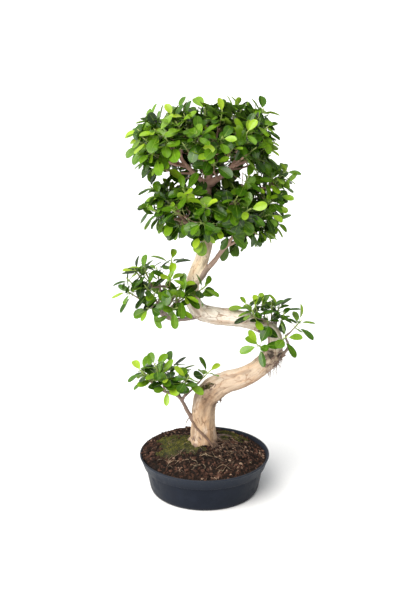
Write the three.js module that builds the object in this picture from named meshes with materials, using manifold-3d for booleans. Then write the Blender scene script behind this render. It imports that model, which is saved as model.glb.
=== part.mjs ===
// A ficus bonsai: an S-shaped tree with leafy sprays, rooted in soil, in a round plastic training pot.
// Millimetres, +Z up. The origin is the centre of the pot's underside, and the side seen first is -Y.
import * as THREE from 'three';
import { mergeVertices } from 'three/addons/utils/BufferGeometryUtils.js';
import Module from 'manifold-3d';

const wasm = await Module();
wasm.setup();

// The pot and its soil
const RIM_RADIUS = 135;
const POT_HEIGHT = 79;
const BAND_HEIGHT = 25;
const BAND_FOOT_RADIUS = 127;
const WALL_TOP_RADIUS = 123;
const FOOT_RADIUS = 113;
const FOOT_BEVEL = 5;
const FOOT_RING = 13;
const CENTRE_PAD = 22;
const RECESS = 2;
const WALL = 2.5;
const LIP = 3;
const LIP_ROUND = 0.5;
const FLOOR = 4;
const DRAIN = { count: 5, circle: 62, radius: 6, sides: 6 };
const ROUND_SIDES = 36;
const SOIL_EDGE_HEIGHT = 71;
const MOUND_HEIGHT = 31;
const SOIL_RINGS = 7;

// The clearance between pieces, and round the trunk and roots where they stand in the soil
const GAP = 0.3;
const ROOT_GAP = 0.5;

// Foliage: the leaf, the green shoot that carries it and the woody twig under the shoot
const LEAF = {
  length: 34, width: 25, stalk: 8, neck: 2, thickness: 1.6, droop: 0.1,
  edge: [[0.38, 0.84], [0.78, 0.9]], youngest: 0.76, oldest: 1.06, least: 0.86, most: 1.12,
};
const LEAVES = { tip: 7, side: 6, first: 0.42, last: 0.98 };
const SPREAD = { oldest: 96, youngest: 50, scatter: 20 };
const SHOOT = { length: 30, radius: 1.6, taper: 0.8, bud: 8, sides: 4, lift: 0.4 };
const TWIG = { startRadius: 2.1, endRadius: 1.8, sides: 4, steps: 2, reach: 42, lead: 14 };
const GOLDEN_ANGLE = 137.508;

// The trunk from under the soil to its tip: x, y, z and diameter at each station.
const TRUNK = [
  [-3, 10, 42, 40], [-3, 10, 76, 58], [-3, 8, 101, 56], [-4, 8, 137, 46], [-3, 6, 172, 46], [2, 4, 198, 49],
  [17, 2, 219, 51], [44, -2, 238, 45], [78, -8, 251, 41], [109, -13, 271, 39], [132, -15, 296, 38],
  [143, -13, 320, 31], [139, -8, 344, 29], [120, -2, 357, 30], [92, 3, 368, 31], [55, 6, 374, 33],
  [19, 8, 378, 34], [-10, 8, 388, 34], [-23, 6, 411, 29], [-25, 4, 437, 27], [-19, 2, 465, 28],
  [-9, 0, 490, 28], [0, 0, 517, 26], [6, 0, 541, 23], [8, 1, 573, 20], [5, 2, 607, 18], [5, 3, 637, 16],
  [9, 3, 666, 12], [8, 0, 699, 9],
];

// The woody limbs, pad by pad, written as the trunk is. Each starts inside what it grows from, and ends in
// the bud at its tip. The other buds of a pad stand on side twigs. A pad's heart is what its shoots lean from.
const PADS = {
  low: {
    heart: [-62, 0, 215],
    limbs: [
      {
        tip: [-130, -10, 265],
        path: [[-14, 4, 140, 11], [-33, -5, 170, 8], [-52, -9, 207, 6.5], [-80, -12, 220, 5.5]],
      },
      { tip: [-34, -45, 263], path: [[-47, -8, 199, 5.5], [-40, -14, 216, 5]] },
    ],
    sideBuds: [[-68, -5, 278], [10, -5, 262], [-51, 35, 250], [-103, 30, 252]],
  },
  elbow: {
    heart: [-80, -2, 415],
    limbs: [
      {
        tip: [-157, -10, 436],
        path: [[-12, 6, 386, 14], [-34, 0, 374, 9], [-72, -6, 376, 7], [-106, -8, 402, 5.5]],
      },
      { tip: [-120, -20, 485], path: [[-25, 5, 418, 11], [-50, -2, 427, 7], [-76, -4, 442, 5.5]] },
      { tip: [2, -20, 448], path: [[-24, 3, 422, 7], [-14, -10, 423, 4.5]] },
    ],
    sideBuds: [[-66, 10, 494], [-112, -40, 409], [-41, -55, 442], [-55, -50, 412], [-91, 40, 406],
      [-116, -36, 452]],
  },
  bend: {
    heart: [135, -5, 330],
    limbs: [
      { tip: [192, -8, 370], path: [[137, -14, 298, 12], [156, -17, 303, 7], [169, -18, 321, 5.5]] },
      { tip: [150, 10, 396], path: [[136, -4, 350, 10], [141, 4, 363, 5]] },
      { tip: [105, -60, 338], path: [[137, -14, 304, 9], [129, -28, 311, 5]] },
      { tip: [95, -32, 399], path: [[112, -2, 360, 9], [107, -10, 372, 5]] },
    ],
    sideBuds: [[162, -44, 350]],
  },
  skirt: {
    heart: [30, 0, 594],
    limbs: [
      {
        tip: [142, 15, 570],
        path: [[-17, 0, 456, 15], [-1, -7, 474, 11], [19, -11, 497, 10], [41, -14, 527, 8], [76, -12, 545, 6]],
      },
      { tip: [124, -45, 600], path: [[40, -14, 525, 7], [58, -26, 554, 6]] },
      { tip: [-89, -15, 630], path: [[8, 0, 556, 14], [-16, -10, 564, 9], [-44, -14, 584, 6.5]] },
      { tip: [-8, -80, 592], path: [[8, 0, 569, 10], [4, -24, 576, 6]] },
      {
        tip: [155, -10, 676],
        path: [[7, 1, 586, 14], [36, -8, 600, 9], [74, -12, 620, 7], [104, -10, 642, 5.5]],
      },
      { tip: [115, 60, 608], path: [[7, 2, 580, 12], [20, 28, 584, 8], [54, 46, 592, 6]] },
      { tip: [-55, 40, 584], path: [[6, 3, 586, 10], [-14, 20, 582, 6]] },
      { tip: [-40, -65, 650], path: [[5, 2, 619, 10], [-12, -24, 624, 6]] },
    ],
    sideBuds: [[82, -48, 672], [145, -20, 632], [84, -75, 616], [-95, -30, 602], [50, -40, 560], [21, 70, 618],
      [-50, 65, 624], [92, 12, 543]],
  },
  crown: {
    heart: [10, 0, 695],
    limbs: [
      { tip: [0, -5, 797], path: [[8, 0, 694, 9], [5, -7, 734, 6]] },
      { tip: [-88, -10, 770], path: [[6, 3, 646, 13], [-16, -6, 666, 9], [-46, -11, 702, 7]] },
      { tip: [-122, -25, 736], path: [[-32, -9, 684, 7], [-64, -14, 698, 5.5]] },
      {
        tip: [110, 0, 792],
        path: [[7, 3, 650, 14], [30, -7, 664, 10], [60, -13, 698, 7.5], [80, -12, 736, 5.5]],
      },
      { tip: [117, -20, 725], path: [[52, -12, 686, 7], [76, -16, 696, 5.5]] },
      { tip: [31, -90, 754], path: [[8, 2, 686, 9], [6, -26, 700, 7], [12, -52, 716, 5.5]] },
      { tip: [14, 60, 772], path: [[8, 2, 678, 11], [14, 28, 694, 8], [16, 46, 716, 6]] },
      { tip: [89, 55, 768], path: [[14, 26, 692, 7], [46, 42, 702, 6.5], [72, 48, 722, 5.5]] },
      { tip: [-98, 60, 724], path: [[14, 26, 692, 7], [-14, 42, 696, 6.5], [-48, 50, 700, 5.5]] },
    ],
    sideBuds: [[-38, -40, 787], [70, -20, 799], [115, -45, 765], [-102, -20, 690], [-70, -70, 746], [-15, -85, 762],
      [78, -75, 762], [18, -80, 706], [-64, 50, 768], [67, 90, 720], [-25, 90, 720], [116, 50, 730]],
  },
};

// Roots that leave the trunk's foot: heading in degrees, reach, and the height at which each ends. They
// thin out through ROOT_DIAMETERS.
const ROOTS = [
  { heading: -35, reach: 46, end: 62 },
  { heading: 20, reach: 50, end: 66 },
  { heading: 100, reach: 42, end: 62 },
  { heading: 165, reach: 44, end: 60 },
  { heading: 235, reach: 42, end: 58 },
];
const ROOT_CREST = 110;
const ROOT_DIAMETERS = [20, 15, 10, 6];

// A thin aerial root that crosses the foot of the trunk from the low limb down to the soil.
const AERIAL_ROOT = [[-27, -3, 160, 4.5], [-20, -12, 144, 4.5], [-6, -18, 130, 4.5], [7, -18, 116, 4.5],
  [17, -20, 100, 4.5], [22, -22, 82, 4.5]];

// How a leaf is bent when its first place is taken: a turn about the shoot and a tilt from it, in degrees.
const BENDS = [[0, 0], [18, 0], [-18, 0], [0, -22], [30, -14], [-30, -14], [0, 22], [45, 0], [-45, 0]];

const vector = ([x, y, z]) => new THREE.Vector3(x, y, z);
const radians = THREE.MathUtils.degToRad;
const up = new THREE.Vector3(0, 0, 1);

// A repeatable number from 0 to 1 for the n-th thing of a kind.
const vary = (n, kind) => {
  const wave = Math.sin(n * 12.9898 + kind * 78.233) * 43758.5453;
  return wave - Math.floor(wave);
};

// Solids: a closed geometry becomes a solid to cut and join, and a solid becomes a geometry again.
function solidOf(geometry) {
  const bare = geometry.clone();
  bare.deleteAttribute('normal');
  bare.deleteAttribute('uv');
  const merged = mergeVertices(bare, 1e-3);
  return new wasm.Manifold(new wasm.Mesh({
    numProp: 3,
    vertProperties: merged.attributes.position.array,
    triVerts: new Uint32Array(merged.index.array),
  }));
}

function geometryOf(solid) {
  const mesh = solid.getMesh();
  const geometry = new THREE.BufferGeometry();
  geometry.setAttribute('position', new THREE.BufferAttribute(mesh.vertProperties, 3));
  geometry.setIndex(new THREE.BufferAttribute(mesh.triVerts, 1));
  geometry.computeVertexNormals();
  return geometry;
}

const joined = (solids) => wasm.Manifold.union(solids);

// A tapering limb: a cylinder whose rows are laid along a curve, each turned as little as the curve allows.
function limbSolid(curve, radiusAt, sides, steps, fluteAt = () => 1) {
  const geometry = new THREE.CylinderGeometry(1, 1, 1, sides, steps);
  const rows = [];
  let across = new THREE.Vector3(1, 0.13, 0.21);
  for (let step = 0; step <= steps; step++) {
    const t = step / steps;
    const along = curve.getTangent(t);
    across = across.clone().addScaledVector(along, -across.dot(along)).normalize();
    const side = new THREE.Vector3().crossVectors(across, along);
    rows.push({ t, centre: curve.getPoint(t), across, side });
  }
  const positions = geometry.attributes.position;
  for (let i = 0; i < positions.count; i++) {
    const row = rows[Math.round((positions.getY(i) + 0.5) * steps)];
    const [x, z] = [positions.getX(i), positions.getZ(i)];
    const radius = radiusAt(row.t) * fluteAt(Math.atan2(z, x), row.t);
    const point = row.centre.clone()
      .addScaledVector(row.across, x * radius)
      .addScaledVector(row.side, z * radius);
    positions.setXYZ(i, point.x, point.y, point.z);
  }
  return solidOf(geometry);
}

const curveThrough = (stations) =>
  new THREE.CatmullRomCurve3(stations.map(vector), false, 'catmullrom', 0.5);

// The radius between stations, grown by a clearance where a hole for the limb is wanted.
const radiusThrough = (stations, clearance = 0) => (t) => {
  const place = t * (stations.length - 1);
  const before = Math.min(Math.floor(place), stations.length - 2);
  return THREE.MathUtils.lerp(stations[before][3], stations[before + 1][3], place - before) / 2 + clearance;
};

const stationSolid = (stations, sides, steps, clearance, fluteAt) =>
  limbSolid(curveThrough(stations), radiusThrough(stations, clearance), sides, steps, fluteAt);

// The trunk is lobed at its foot and round at its tip.
const trunkFlute = (angle, t) =>
  1 + (1 - t) * (0.05 * Math.cos(3 * angle + 9 * t) + 0.03 * Math.cos(5 * angle - 4 * t));

const trunkSolid = (clearance = 0) => stationSolid(TRUNK, 12, 36, clearance, trunkFlute);

// A root starts inside the trunk's foot, and bends down into the soil at two thirds of its reach.
function rootSolids(clearance = 0) {
  const [footX, footY] = TRUNK[2];
  const roots = ROOTS.map(({ heading, reach, end }) => {
    const shares = [8 / reach, 0.62, 1, 1.1];
    const heights = [ROOT_CREST, ROOT_CREST - 13, (ROOT_CREST + end) / 2 - 4, end];
    const stations = shares.map((share, i) => [
      footX + share * reach * Math.cos(radians(heading)),
      footY + share * reach * Math.sin(radians(heading)),
      heights[i],
      ROOT_DIAMETERS[i],
    ]);
    return stationSolid(stations, 5, 4, clearance);
  });
  return [...roots, stationSolid(AERIAL_ROOT, 4, 7, clearance)];
}

// The green shoot below a bud leans outward from its pad's heart, and starts at a seat on the wood.
function placeShoot(place, heart) {
  const bud = vector(place);
  const heading = bud.clone().sub(vector(heart)).normalize().addScaledVector(up, SHOOT.lift).normalize();
  return { heading, seat: bud.clone().addScaledVector(heading, -SHOOT.length), leaves: [] };
}

// A limb runs through its stations and comes to its seat along the shoot, so that it ends square to it.
function woodyLimb({ path, shoot }) {
  const lead = shoot.seat.clone().addScaledVector(shoot.heading, -TWIG.lead);
  const stations = [...path, [...lead, 2 * TWIG.startRadius], [...shoot.seat, 2 * TWIG.endRadius]];
  const sides = path[0][3] < 10 ? 5 : 6;
  return stationSolid(stations, sides, stations.length - 1);
}

// A side twig leaves the limb point that best leads to its seat.
function twigSolid({ seat, heading }, limbs) {
  const lead = seat.clone().addScaledVector(heading, -TWIG.reach);
  const roots = limbs.flatMap(({ path }) => curveThrough(path).getPoints(10).slice(2));
  const root = roots.reduce((best, one) => (one.distanceTo(lead) < best.distanceTo(lead) ? one : best));
  const span = root.distanceTo(seat);
  const bow = root.clone().lerp(seat, 0.35).addScaledVector(up, -0.06 * span);
  const arrival = seat.clone().addScaledVector(heading, -0.4 * span);
  const curve = new THREE.CubicBezierCurve3(root, bow, arrival, seat);
  const radiusAt = (t) => THREE.MathUtils.lerp(TWIG.startRadius, TWIG.endRadius, t);
  return limbSolid(curve, radiusAt, TWIG.sides, TWIG.steps);
}

// Sprays are numbered through each pad, first those at the limbs' tips and then those on side twigs.
const sprays = [];
const wood = [];
Object.entries(PADS).forEach(([pad, { heart, limbs, sideBuds }]) => {
  limbs.forEach((limb) => { limb.shoot = placeShoot(limb.tip, heart); });
  const sideShoots = sideBuds.map((bud) => placeShoot(bud, heart));
  wood.push(...limbs.map(woodyLimb), ...sideShoots.map((shoot) => twigSolid(shoot, limbs)));
  [...limbs.map(({ shoot }) => shoot), ...sideShoots].forEach((shoot, i) => {
    const name = `${pad}_spray_${String(i + 1).padStart(2, '0')}`;
    const count = i < limbs.length ? LEAVES.tip : LEAVES.side;
    sprays.push({ ...shoot, name, count, number: sprays.length });
  });
});

const treeSolid = () => joined([trunkSolid(), ...rootSolids(), ...wood]);

// A green shoot with the pointed sheath of its bud, turned from a profile and stood at its seat.
function shootSolid({ seat, heading }) {
  const { length, radius, taper, bud, sides } = SHOOT;
  const profile = [[0, GAP], [radius, GAP], [radius * taper, length], [0, length + bud]];
  const shoot = new THREE.LatheGeometry(profile.map(([r, h]) => new THREE.Vector2(r, h)), sides);
  shoot.applyQuaternion(new THREE.Quaternion().setFromUnitVectors(new THREE.Vector3(0, 1, 0), heading));
  shoot.translate(seat.x, seat.y, seat.z);
  return solidOf(shoot);
}

// Where a leaf grows: its root on the shoot, the way it points, the way its face looks, and its size. Leaves
// stand a golden angle apart, the oldest lowest, and the young ones at the tip are smaller and more upright.
function leafPlace(spray, k, [turn, tilt]) {
  const { seat, heading, number, count } = spray;
  const { lerp } = THREE.MathUtils;
  const youth = (k + 0.5) / count;
  const draw = (kind) => vary(number * 16 + k, kind);
  const root = seat.clone().addScaledVector(heading, SHOOT.length * lerp(LEAVES.first, LEAVES.last, youth));
  const east = new THREE.Vector3(1, 0.3, 0).cross(heading).normalize();
  const north = new THREE.Vector3().crossVectors(heading, east);
  const around = radians(GOLDEN_ANGLE * k + 360 * vary(number, 1) + turn);
  const opened = lerp(SPREAD.oldest, SPREAD.youngest, youth) + SPREAD.scatter * (draw(2) - 0.5);
  const spread = radians(opened + tilt);
  const along = heading.clone().multiplyScalar(Math.cos(spread))
    .addScaledVector(east, Math.sin(spread) * Math.cos(around))
    .addScaledVector(north, Math.sin(spread) * Math.sin(around));
  const lean = new THREE.Vector3(draw(3) - 0.5, draw(4) - 0.5, 0);
  const face = heading.clone().addScaledVector(up, 0.3).addScaledVector(lean, 0.9);
  face.addScaledVector(along, -face.dot(along)).normalize();
  const size = lerp(LEAF.oldest, LEAF.youngest, youth ** 2) * lerp(LEAF.least, LEAF.most, draw(5));
  return { root, along, face, size };
}

// A leaf: a stalk and a rounded blade with a keel under its rib, drooping to the tip. Its points are the root,
// then the neck, edge and tip on one side, the same on the other, and the keel's two.
const LEAF_FACES = [
  [0, 5, 1], [5, 6, 2], [5, 2, 1], [6, 7, 3], [6, 3, 2], [7, 4, 3],
  [0, 1, 8], [8, 1, 2], [8, 2, 9], [9, 2, 3], [9, 3, 4],
  [0, 8, 5], [8, 6, 5], [8, 9, 6], [9, 7, 6], [9, 4, 7],
];

function leafSolid({ root, along, face, size }, clearance = 0) {
  const length = LEAF.length * size + clearance;
  const halfWidth = (LEAF.width / 2) * size + clearance;
  const stalk = LEAF.stalk * size;
  const neck = LEAF.neck / 2 + clearance;
  const keel = LEAF.thickness + 2 * clearance;
  const height = (share) => clearance - LEAF.droop * length * share ** 2;
  const edge = (side) => LEAF.edge.map(([share, width]) => [
    stalk + share * length, side * width * halfWidth, height(share),
  ]);
  const points = [
    [0, 0, 0], [stalk, neck, clearance], ...edge(1), [stalk + length, 0, height(1)],
    [stalk, -neck, clearance], ...edge(-1), [stalk, 0, -keel], [stalk + length / 2, 0, height(0.5) - keel],
  ];
  const geometry = new THREE.BufferGeometry();
  geometry.setAttribute('position', new THREE.Float32BufferAttribute(points.flat(), 3));
  geometry.setIndex(LEAF_FACES.flat());
  const across = new THREE.Vector3().crossVectors(face, along);
  geometry.applyMatrix4(new THREE.Matrix4().makeBasis(along, across, face).setPosition(root));
  return solidOf(geometry);
}

// Whether two solids meet by more than a given volume, tried only where their boxes do.
function meet(a, b, allowed = 0) {
  const [p, q] = [a.boundingBox(), b.boundingBox()];
  const apart = [0, 1, 2].some((i) => p.min[i] > q.max[i] || q.min[i] > p.max[i]);
  return !apart && a.intersect(b).volume() > allowed;
}

// Leaves are set out one round at a time, so that every spray fills evenly. A leaf that would cross the
// wood or another spray is bent clear, and is left out where no bend is free.
const LEAF_CLEARANCE = 0.35;
const STALKS_MEET = 0.5;

function isFree(place, spray, tree) {
  const wide = leafSolid(place, LEAF_CLEARANCE);
  const others = sprays.filter((other) => other !== spray)
    .flatMap(({ shoot, leaves }) => [shoot, ...leaves]);
  return !meet(wide, tree) && !others.some((other) => meet(wide, other))
    && !spray.leaves.some((leaf) => meet(wide, leaf, STALKS_MEET));
}

function growLeaves(tree) {
  for (let k = 0; k < LEAVES.tip; k++) {
    for (const spray of sprays.filter(({ count }) => k < count)) {
      const place = BENDS.map((bend) => leafPlace(spray, k, bend)).find((one) => isFree(one, spray, tree));
      if (place) spray.leaves.push(leafSolid(place));
    }
  }
}

// Round pieces are turned about the pot's axis, with their facets in line.
function turned(profile) {
  const geometry = new THREE.LatheGeometry(profile.map(([r, h]) => new THREE.Vector2(r, h)), ROUND_SIDES);
  return geometry.rotateX(Math.PI / 2);
}

const BAND_FOOT = POT_HEIGHT - BAND_HEIGHT;
const INNER_FOOT_RADIUS = FOOT_RADIUS - WALL - 2;
const INNER_WALL_TOP_RADIUS = WALL_TOP_RADIUS - WALL;
const INNER_BAND_RADIUS = BAND_FOOT_RADIUS - WALL;
const INNER_RIM_RADIUS = RIM_RADIUS - LIP_ROUND - LIP;

// The pot: a thin bowl with a proud band under its rim, standing on a foot ring, with drain holes.
function potSolid() {
  const foot = FOOT_RADIUS - FOOT_BEVEL;
  const ring = foot - FOOT_RING;
  const profile = [
    [0, 0], [CENTRE_PAD, 0], [CENTRE_PAD + RECESS, RECESS],
    [ring - RECESS, RECESS], [ring, 0], [foot, 0], [FOOT_RADIUS, FOOT_BEVEL],
    [WALL_TOP_RADIUS, BAND_FOOT], [BAND_FOOT_RADIUS, BAND_FOOT + 1.5],
    [RIM_RADIUS, POT_HEIGHT - 2 * LIP_ROUND], [RIM_RADIUS - LIP_ROUND, POT_HEIGHT],
    [INNER_RIM_RADIUS, POT_HEIGHT], [INNER_BAND_RADIUS, BAND_FOOT + 2],
    [INNER_WALL_TOP_RADIUS, BAND_FOOT - 2], [INNER_FOOT_RADIUS, FLOOR], [0, FLOOR],
  ];
  const drains = Array.from({ length: DRAIN.count }, (_, i) => {
    const hole = new THREE.CylinderGeometry(DRAIN.radius, DRAIN.radius, 4 * FLOOR, DRAIN.sides);
    const angle = ((i + 0.5) / DRAIN.count) * 2 * Math.PI;
    hole.rotateX(Math.PI / 2).translate(DRAIN.circle * Math.cos(angle), DRAIN.circle * Math.sin(angle), 0);
    return solidOf(hole);
  });
  return solidOf(turned(profile)).subtract(joined(drains));
}

// The soil's surface: a mound round the trunk, rough with bark chips.
function soilHeight(x, y) {
  const reach = Math.min(1, Math.hypot(x, y) / INNER_BAND_RADIUS);
  const mound = MOUND_HEIGHT * (1 - reach ** 2) ** 1.15;
  const coarse = 1.3 * Math.sin(0.36 * x + 1.3) * Math.cos(0.43 * y);
  const fine = 0.9 * Math.sin(0.25 * x - 0.31 * y + 2);
  return SOIL_EDGE_HEIGHT + mound + (coarse + fine) * (1 - reach ** 8);
}

// The soil fills the pot, and its top rings are raised from the band to the soil's surface.
function soilSolid() {
  const clear = 2 * GAP;
  const rise = (SOIL_EDGE_HEIGHT - BAND_FOOT - 2) / (BAND_HEIGHT - 2);
  const edgeRadius = THREE.MathUtils.lerp(INNER_BAND_RADIUS, INNER_RIM_RADIUS, rise) - clear;
  const rings = Array.from({ length: SOIL_RINGS + 1 }, (_, i) => edgeRadius * (1 - i / SOIL_RINGS));
  const profile = [
    [0, FLOOR + GAP], [INNER_FOOT_RADIUS - clear, FLOOR + GAP],
    [INNER_WALL_TOP_RADIUS - clear, BAND_FOOT - 2], [INNER_BAND_RADIUS - clear, BAND_FOOT + 2],
    ...rings.map((radius) => [radius, SOIL_EDGE_HEIGHT]),
  ];
  const geometry = turned(profile);
  const positions = geometry.attributes.position;
  for (let i = 0; i < positions.count; i++) {
    const [x, y, z] = [positions.getX(i), positions.getY(i), positions.getZ(i)];
    if (z > SOIL_EDGE_HEIGHT - 1) positions.setZ(i, soilHeight(x, y));
  }
  return solidOf(geometry).subtract(joined([trunkSolid(ROOT_GAP), ...rootSolids(ROOT_GAP)]));
}

// The scene: one named mesh for each sub-part.
const plastic = new THREE.MeshStandardMaterial({ color: 0x343a42, roughness: 0.5, metalness: 0 });
const earth = new THREE.MeshStandardMaterial({ color: 0x3a2619, roughness: 0.95, metalness: 0 });
const bark = new THREE.MeshStandardMaterial({ color: 0xc2a077, roughness: 0.75, metalness: 0 });
const foliage = new THREE.MeshStandardMaterial({ color: 0x3f8a1c, roughness: 0.35, metalness: 0 });

const bonsai = new THREE.Group();

function addNode(name, solid, material) {
  const mesh = new THREE.Mesh(geometryOf(solid), material);
  mesh.name = name;
  bonsai.add(mesh);
}

const tree = treeSolid();
sprays.forEach((spray) => { spray.shoot = shootSolid(spray); });
growLeaves(tree);

addNode('pot', potSolid(), plastic);
addNode('soil', soilSolid(), earth);
addNode('tree', tree, bark);
sprays.forEach(({ name, shoot, leaves }) => addNode(name, joined([shoot, ...leaves]), foliage));

export default bonsai;
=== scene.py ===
# %% [markdown]
# # A ficus bonsai in its training pot
#
# This lesson dresses a small potted tree for a catalogue picture. The frame that is loaded first holds
# every size and place: the pot, the soil, the trunk with its limbs, and 57 sprays of plain leaves. What is
# made here keeps those forms and gives them their real surface: turned plastic, chips and moss, creased
# bark, and leaves with a fold, a rib and veins.
#
# Lengths are in millimetres, as a gardener or a potter would give them. The function that makes a mesh
# turns them into metres.

import functools
import itertools
import math

import bpy
import numpy as np
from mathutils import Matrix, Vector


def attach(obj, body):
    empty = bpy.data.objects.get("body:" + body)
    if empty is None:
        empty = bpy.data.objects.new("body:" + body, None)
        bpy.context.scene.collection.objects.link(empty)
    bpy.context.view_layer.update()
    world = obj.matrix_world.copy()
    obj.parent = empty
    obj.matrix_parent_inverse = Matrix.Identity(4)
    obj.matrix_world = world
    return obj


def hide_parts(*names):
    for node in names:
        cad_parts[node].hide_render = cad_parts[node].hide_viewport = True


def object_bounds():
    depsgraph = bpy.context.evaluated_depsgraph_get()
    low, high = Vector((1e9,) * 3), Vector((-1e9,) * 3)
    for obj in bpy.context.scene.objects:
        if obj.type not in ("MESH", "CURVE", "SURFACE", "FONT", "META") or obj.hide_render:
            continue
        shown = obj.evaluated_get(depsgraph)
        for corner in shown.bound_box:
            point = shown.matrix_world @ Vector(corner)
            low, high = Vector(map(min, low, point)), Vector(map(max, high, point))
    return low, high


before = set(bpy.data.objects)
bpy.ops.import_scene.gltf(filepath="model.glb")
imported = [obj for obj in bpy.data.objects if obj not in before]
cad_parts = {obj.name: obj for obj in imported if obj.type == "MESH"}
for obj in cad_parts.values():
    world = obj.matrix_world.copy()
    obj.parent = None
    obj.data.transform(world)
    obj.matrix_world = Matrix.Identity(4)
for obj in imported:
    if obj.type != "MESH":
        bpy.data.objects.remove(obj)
cad_box = [list(corner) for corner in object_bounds()]
print("frame's box, metres:", cad_box)

# %% [markdown]
# ## The picture's camera, light and floor
#
# The tree was photographed from a little above, on a white sweep under broad soft light that comes mostly
# from the upper left. A sun lamp with a wide angle gives that softness and, unlike a lamp that stands near,
# keeps the floor white to the edge of the picture. The sky is bright towards the upper left and dim on the
# other side, so that the trunk and the pot keep a shaded side. The camera sees it as plain white.

# %% Camera
CAMERA_PLACE = (-0.00942, -2.2, 1.10488)
CAMERA_DOWN = math.radians(17.459)
FOCAL_LENGTH = 68.985

lens = bpy.data.cameras.new("camera")
lens.lens = FOCAL_LENGTH
camera = bpy.data.objects.new("camera", lens)
camera.location = CAMERA_PLACE
camera.rotation_euler = (math.pi / 2 - CAMERA_DOWN, 0, 0)
bpy.context.scene.collection.objects.link(camera)
bpy.context.scene.camera = camera
print("camera at", CAMERA_PLACE)

# %% A short way to write node trees
MM = 0.001


def connect(tree, socket, value):
    """Feeds a socket from an output, or sets its value."""
    if isinstance(value, bpy.types.NodeSocket):
        tree.links.new(value, socket)
    elif isinstance(value, tuple) and len(value) == 3 and socket.type == "RGBA":
        socket.default_value = (*value, 1)
    else:
        socket.default_value = value


def feed(tree, made, **inputs):
    """Sets inputs of a node by name, to values or to the outputs that feed them."""
    for name, value in inputs.items():
        connect(tree, made.inputs[name.replace("_", " ")], value)


def node(tree, kind, settings=None, **inputs):
    """One shader node. settings are its own properties, inputs are values or the outputs that feed it."""
    made = tree.nodes.new("ShaderNode" + kind)
    for name, value in (settings or {}).items():
        setattr(made, name, value)
    feed(tree, made, **inputs)
    return made


def maths(operation, tree, *values, clamp=False):
    """A sum, product or other function of numbers."""
    made = node(tree, "Math", {"operation": operation, "use_clamp": clamp})
    for socket, value in zip(made.inputs, values):
        connect(tree, socket, value)
    return made.outputs[0]


plus, minus, times = (functools.partial(maths, way) for way in ("ADD", "SUBTRACT", "MULTIPLY"))


def swing(tree, value, width):
    """A value from 0 to 1, made to swing about 0 by half the width either way."""
    return times(tree, minus(tree, value, 0.5), width)


def blended(tree, share, first, second):
    """The first colour, changed to the second by a share from 0 to 1."""
    made = node(tree, "Mix", {"data_type": "RGBA"})
    for place, value in ((0, share), (6, first), (7, second)):
        connect(tree, made.inputs[place], value)
    return made.outputs[2]


def tinted(tree, colour, *layers):
    """A colour, changed in turn to the tint of each layer (mask, share, tint) by that share of its mask."""
    for mask, share, tint in layers:
        colour = blended(tree, times(tree, mask, share), colour, tint)
    return colour


def stepped(tree, value, low, high, to_low=0.0, to_high=1.0):
    """A smooth step: to_low where the value is under low, to_high where it is over high."""
    made = node(tree, "MapRange", {"interpolation_type": "SMOOTHSTEP"}, Value=value)
    for place, number in enumerate((low, high, to_low, to_high), 1):
        made.inputs[place].default_value = number
    return made.outputs[0]


def ramp(tree, value, stops):
    """A colour looked up along a row of (place, colour) stops."""
    made = node(tree, "ValToRGB", Fac=value)
    band = made.color_ramp.elements
    while len(band) < len(stops):
        band.new(0.5)
    for element, (place, colour) in zip(band, stops):
        element.position = place
        element.color = (*colour, 1)
    return made.outputs[0]


def noise(tree, place, scale, detail=3.0, roughness=0.55):
    """Cloudy noise from 0 to 1 with the given number of clouds to the metre."""
    made = node(tree, "TexNoise", Vector=place, Scale=scale, Detail=detail, Roughness=roughness)
    return made.outputs[0]


def carried(tree, name, output="Fac"):
    """A value that the mesh carries at each point."""
    return node(tree, "Attribute", {"attribute_name": name}).outputs[output]


def parts(tree, vector):
    """The X, Y and Z of a vector."""
    return node(tree, "SeparateXYZ", Vector=vector).outputs


def stretched(tree, place, *scale):
    """A place with each axis scaled. A pattern there is drawn out along the axis scaled least."""
    return node(tree, "Mapping", Vector=place, Scale=scale).outputs[0]


def material(name, roughness=0.5, **constants):
    """A new material with one Principled shader. Returns the material, its node tree, the shader, and the
    place of a point in the object, in metres."""
    made = bpy.data.materials.new(name)
    made.use_nodes = True
    tree = made.node_tree
    shader = next(one for one in tree.nodes if one.type == "BSDF_PRINCIPLED")
    feed(tree, shader, Roughness=roughness, **constants)
    return made, tree, shader, node(tree, "TexCoord").outputs["Object"]


# %% Sky and lamp
SKY_SEEN = 1.0
SKY_DIM, SKY_BRIGHT = 0.16, 1.2
SKY_BRIGHT_WAY = (-0.5, -0.15, 0.85)
SUN_STRENGTH = 4.2
SUN_WIDTH = math.radians(58)
SUN_TURN = (math.radians(36), math.radians(-37), 0)

world = bpy.data.worlds.new("studio")
bpy.context.scene.world = world
world.use_nodes = True
sky = world.node_tree
sky.nodes.clear()
paths = node(sky, "LightPath")
direction = node(sky, "TexCoord").outputs["Generated"]
towards = node(sky, "VectorMath", {"operation": "DOT_PRODUCT"})
sky.links.new(direction, towards.inputs[0])
towards.inputs[1].default_value = SKY_BRIGHT_WAY
brightness = stepped(sky, towards.outputs["Value"], -0.2, 1.0, SKY_DIM, SKY_BRIGHT)
lit = node(sky, "Background", Color=(0.97, 0.985, 1.0, 1), Strength=brightness)
seen = node(sky, "Background", Color=(1, 1, 1, 1), Strength=SKY_SEEN)
choice = node(sky, "MixShader", Fac=paths.outputs["Is Camera Ray"])
sky.links.new(lit.outputs[0], choice.inputs[1])
sky.links.new(seen.outputs[0], choice.inputs[2])
node(sky, "OutputWorld", Surface=choice.outputs[0])

lamp = bpy.data.lights.new("key", "SUN")
lamp.energy = SUN_STRENGTH
lamp.angle = SUN_WIDTH
lamp.color = (1.0, 0.97, 0.92)
key = bpy.data.objects.new("key", lamp)
key.rotation_euler = SUN_TURN
bpy.context.scene.collection.objects.link(key)
bpy.context.scene.view_settings.view_transform = "Standard"

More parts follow.
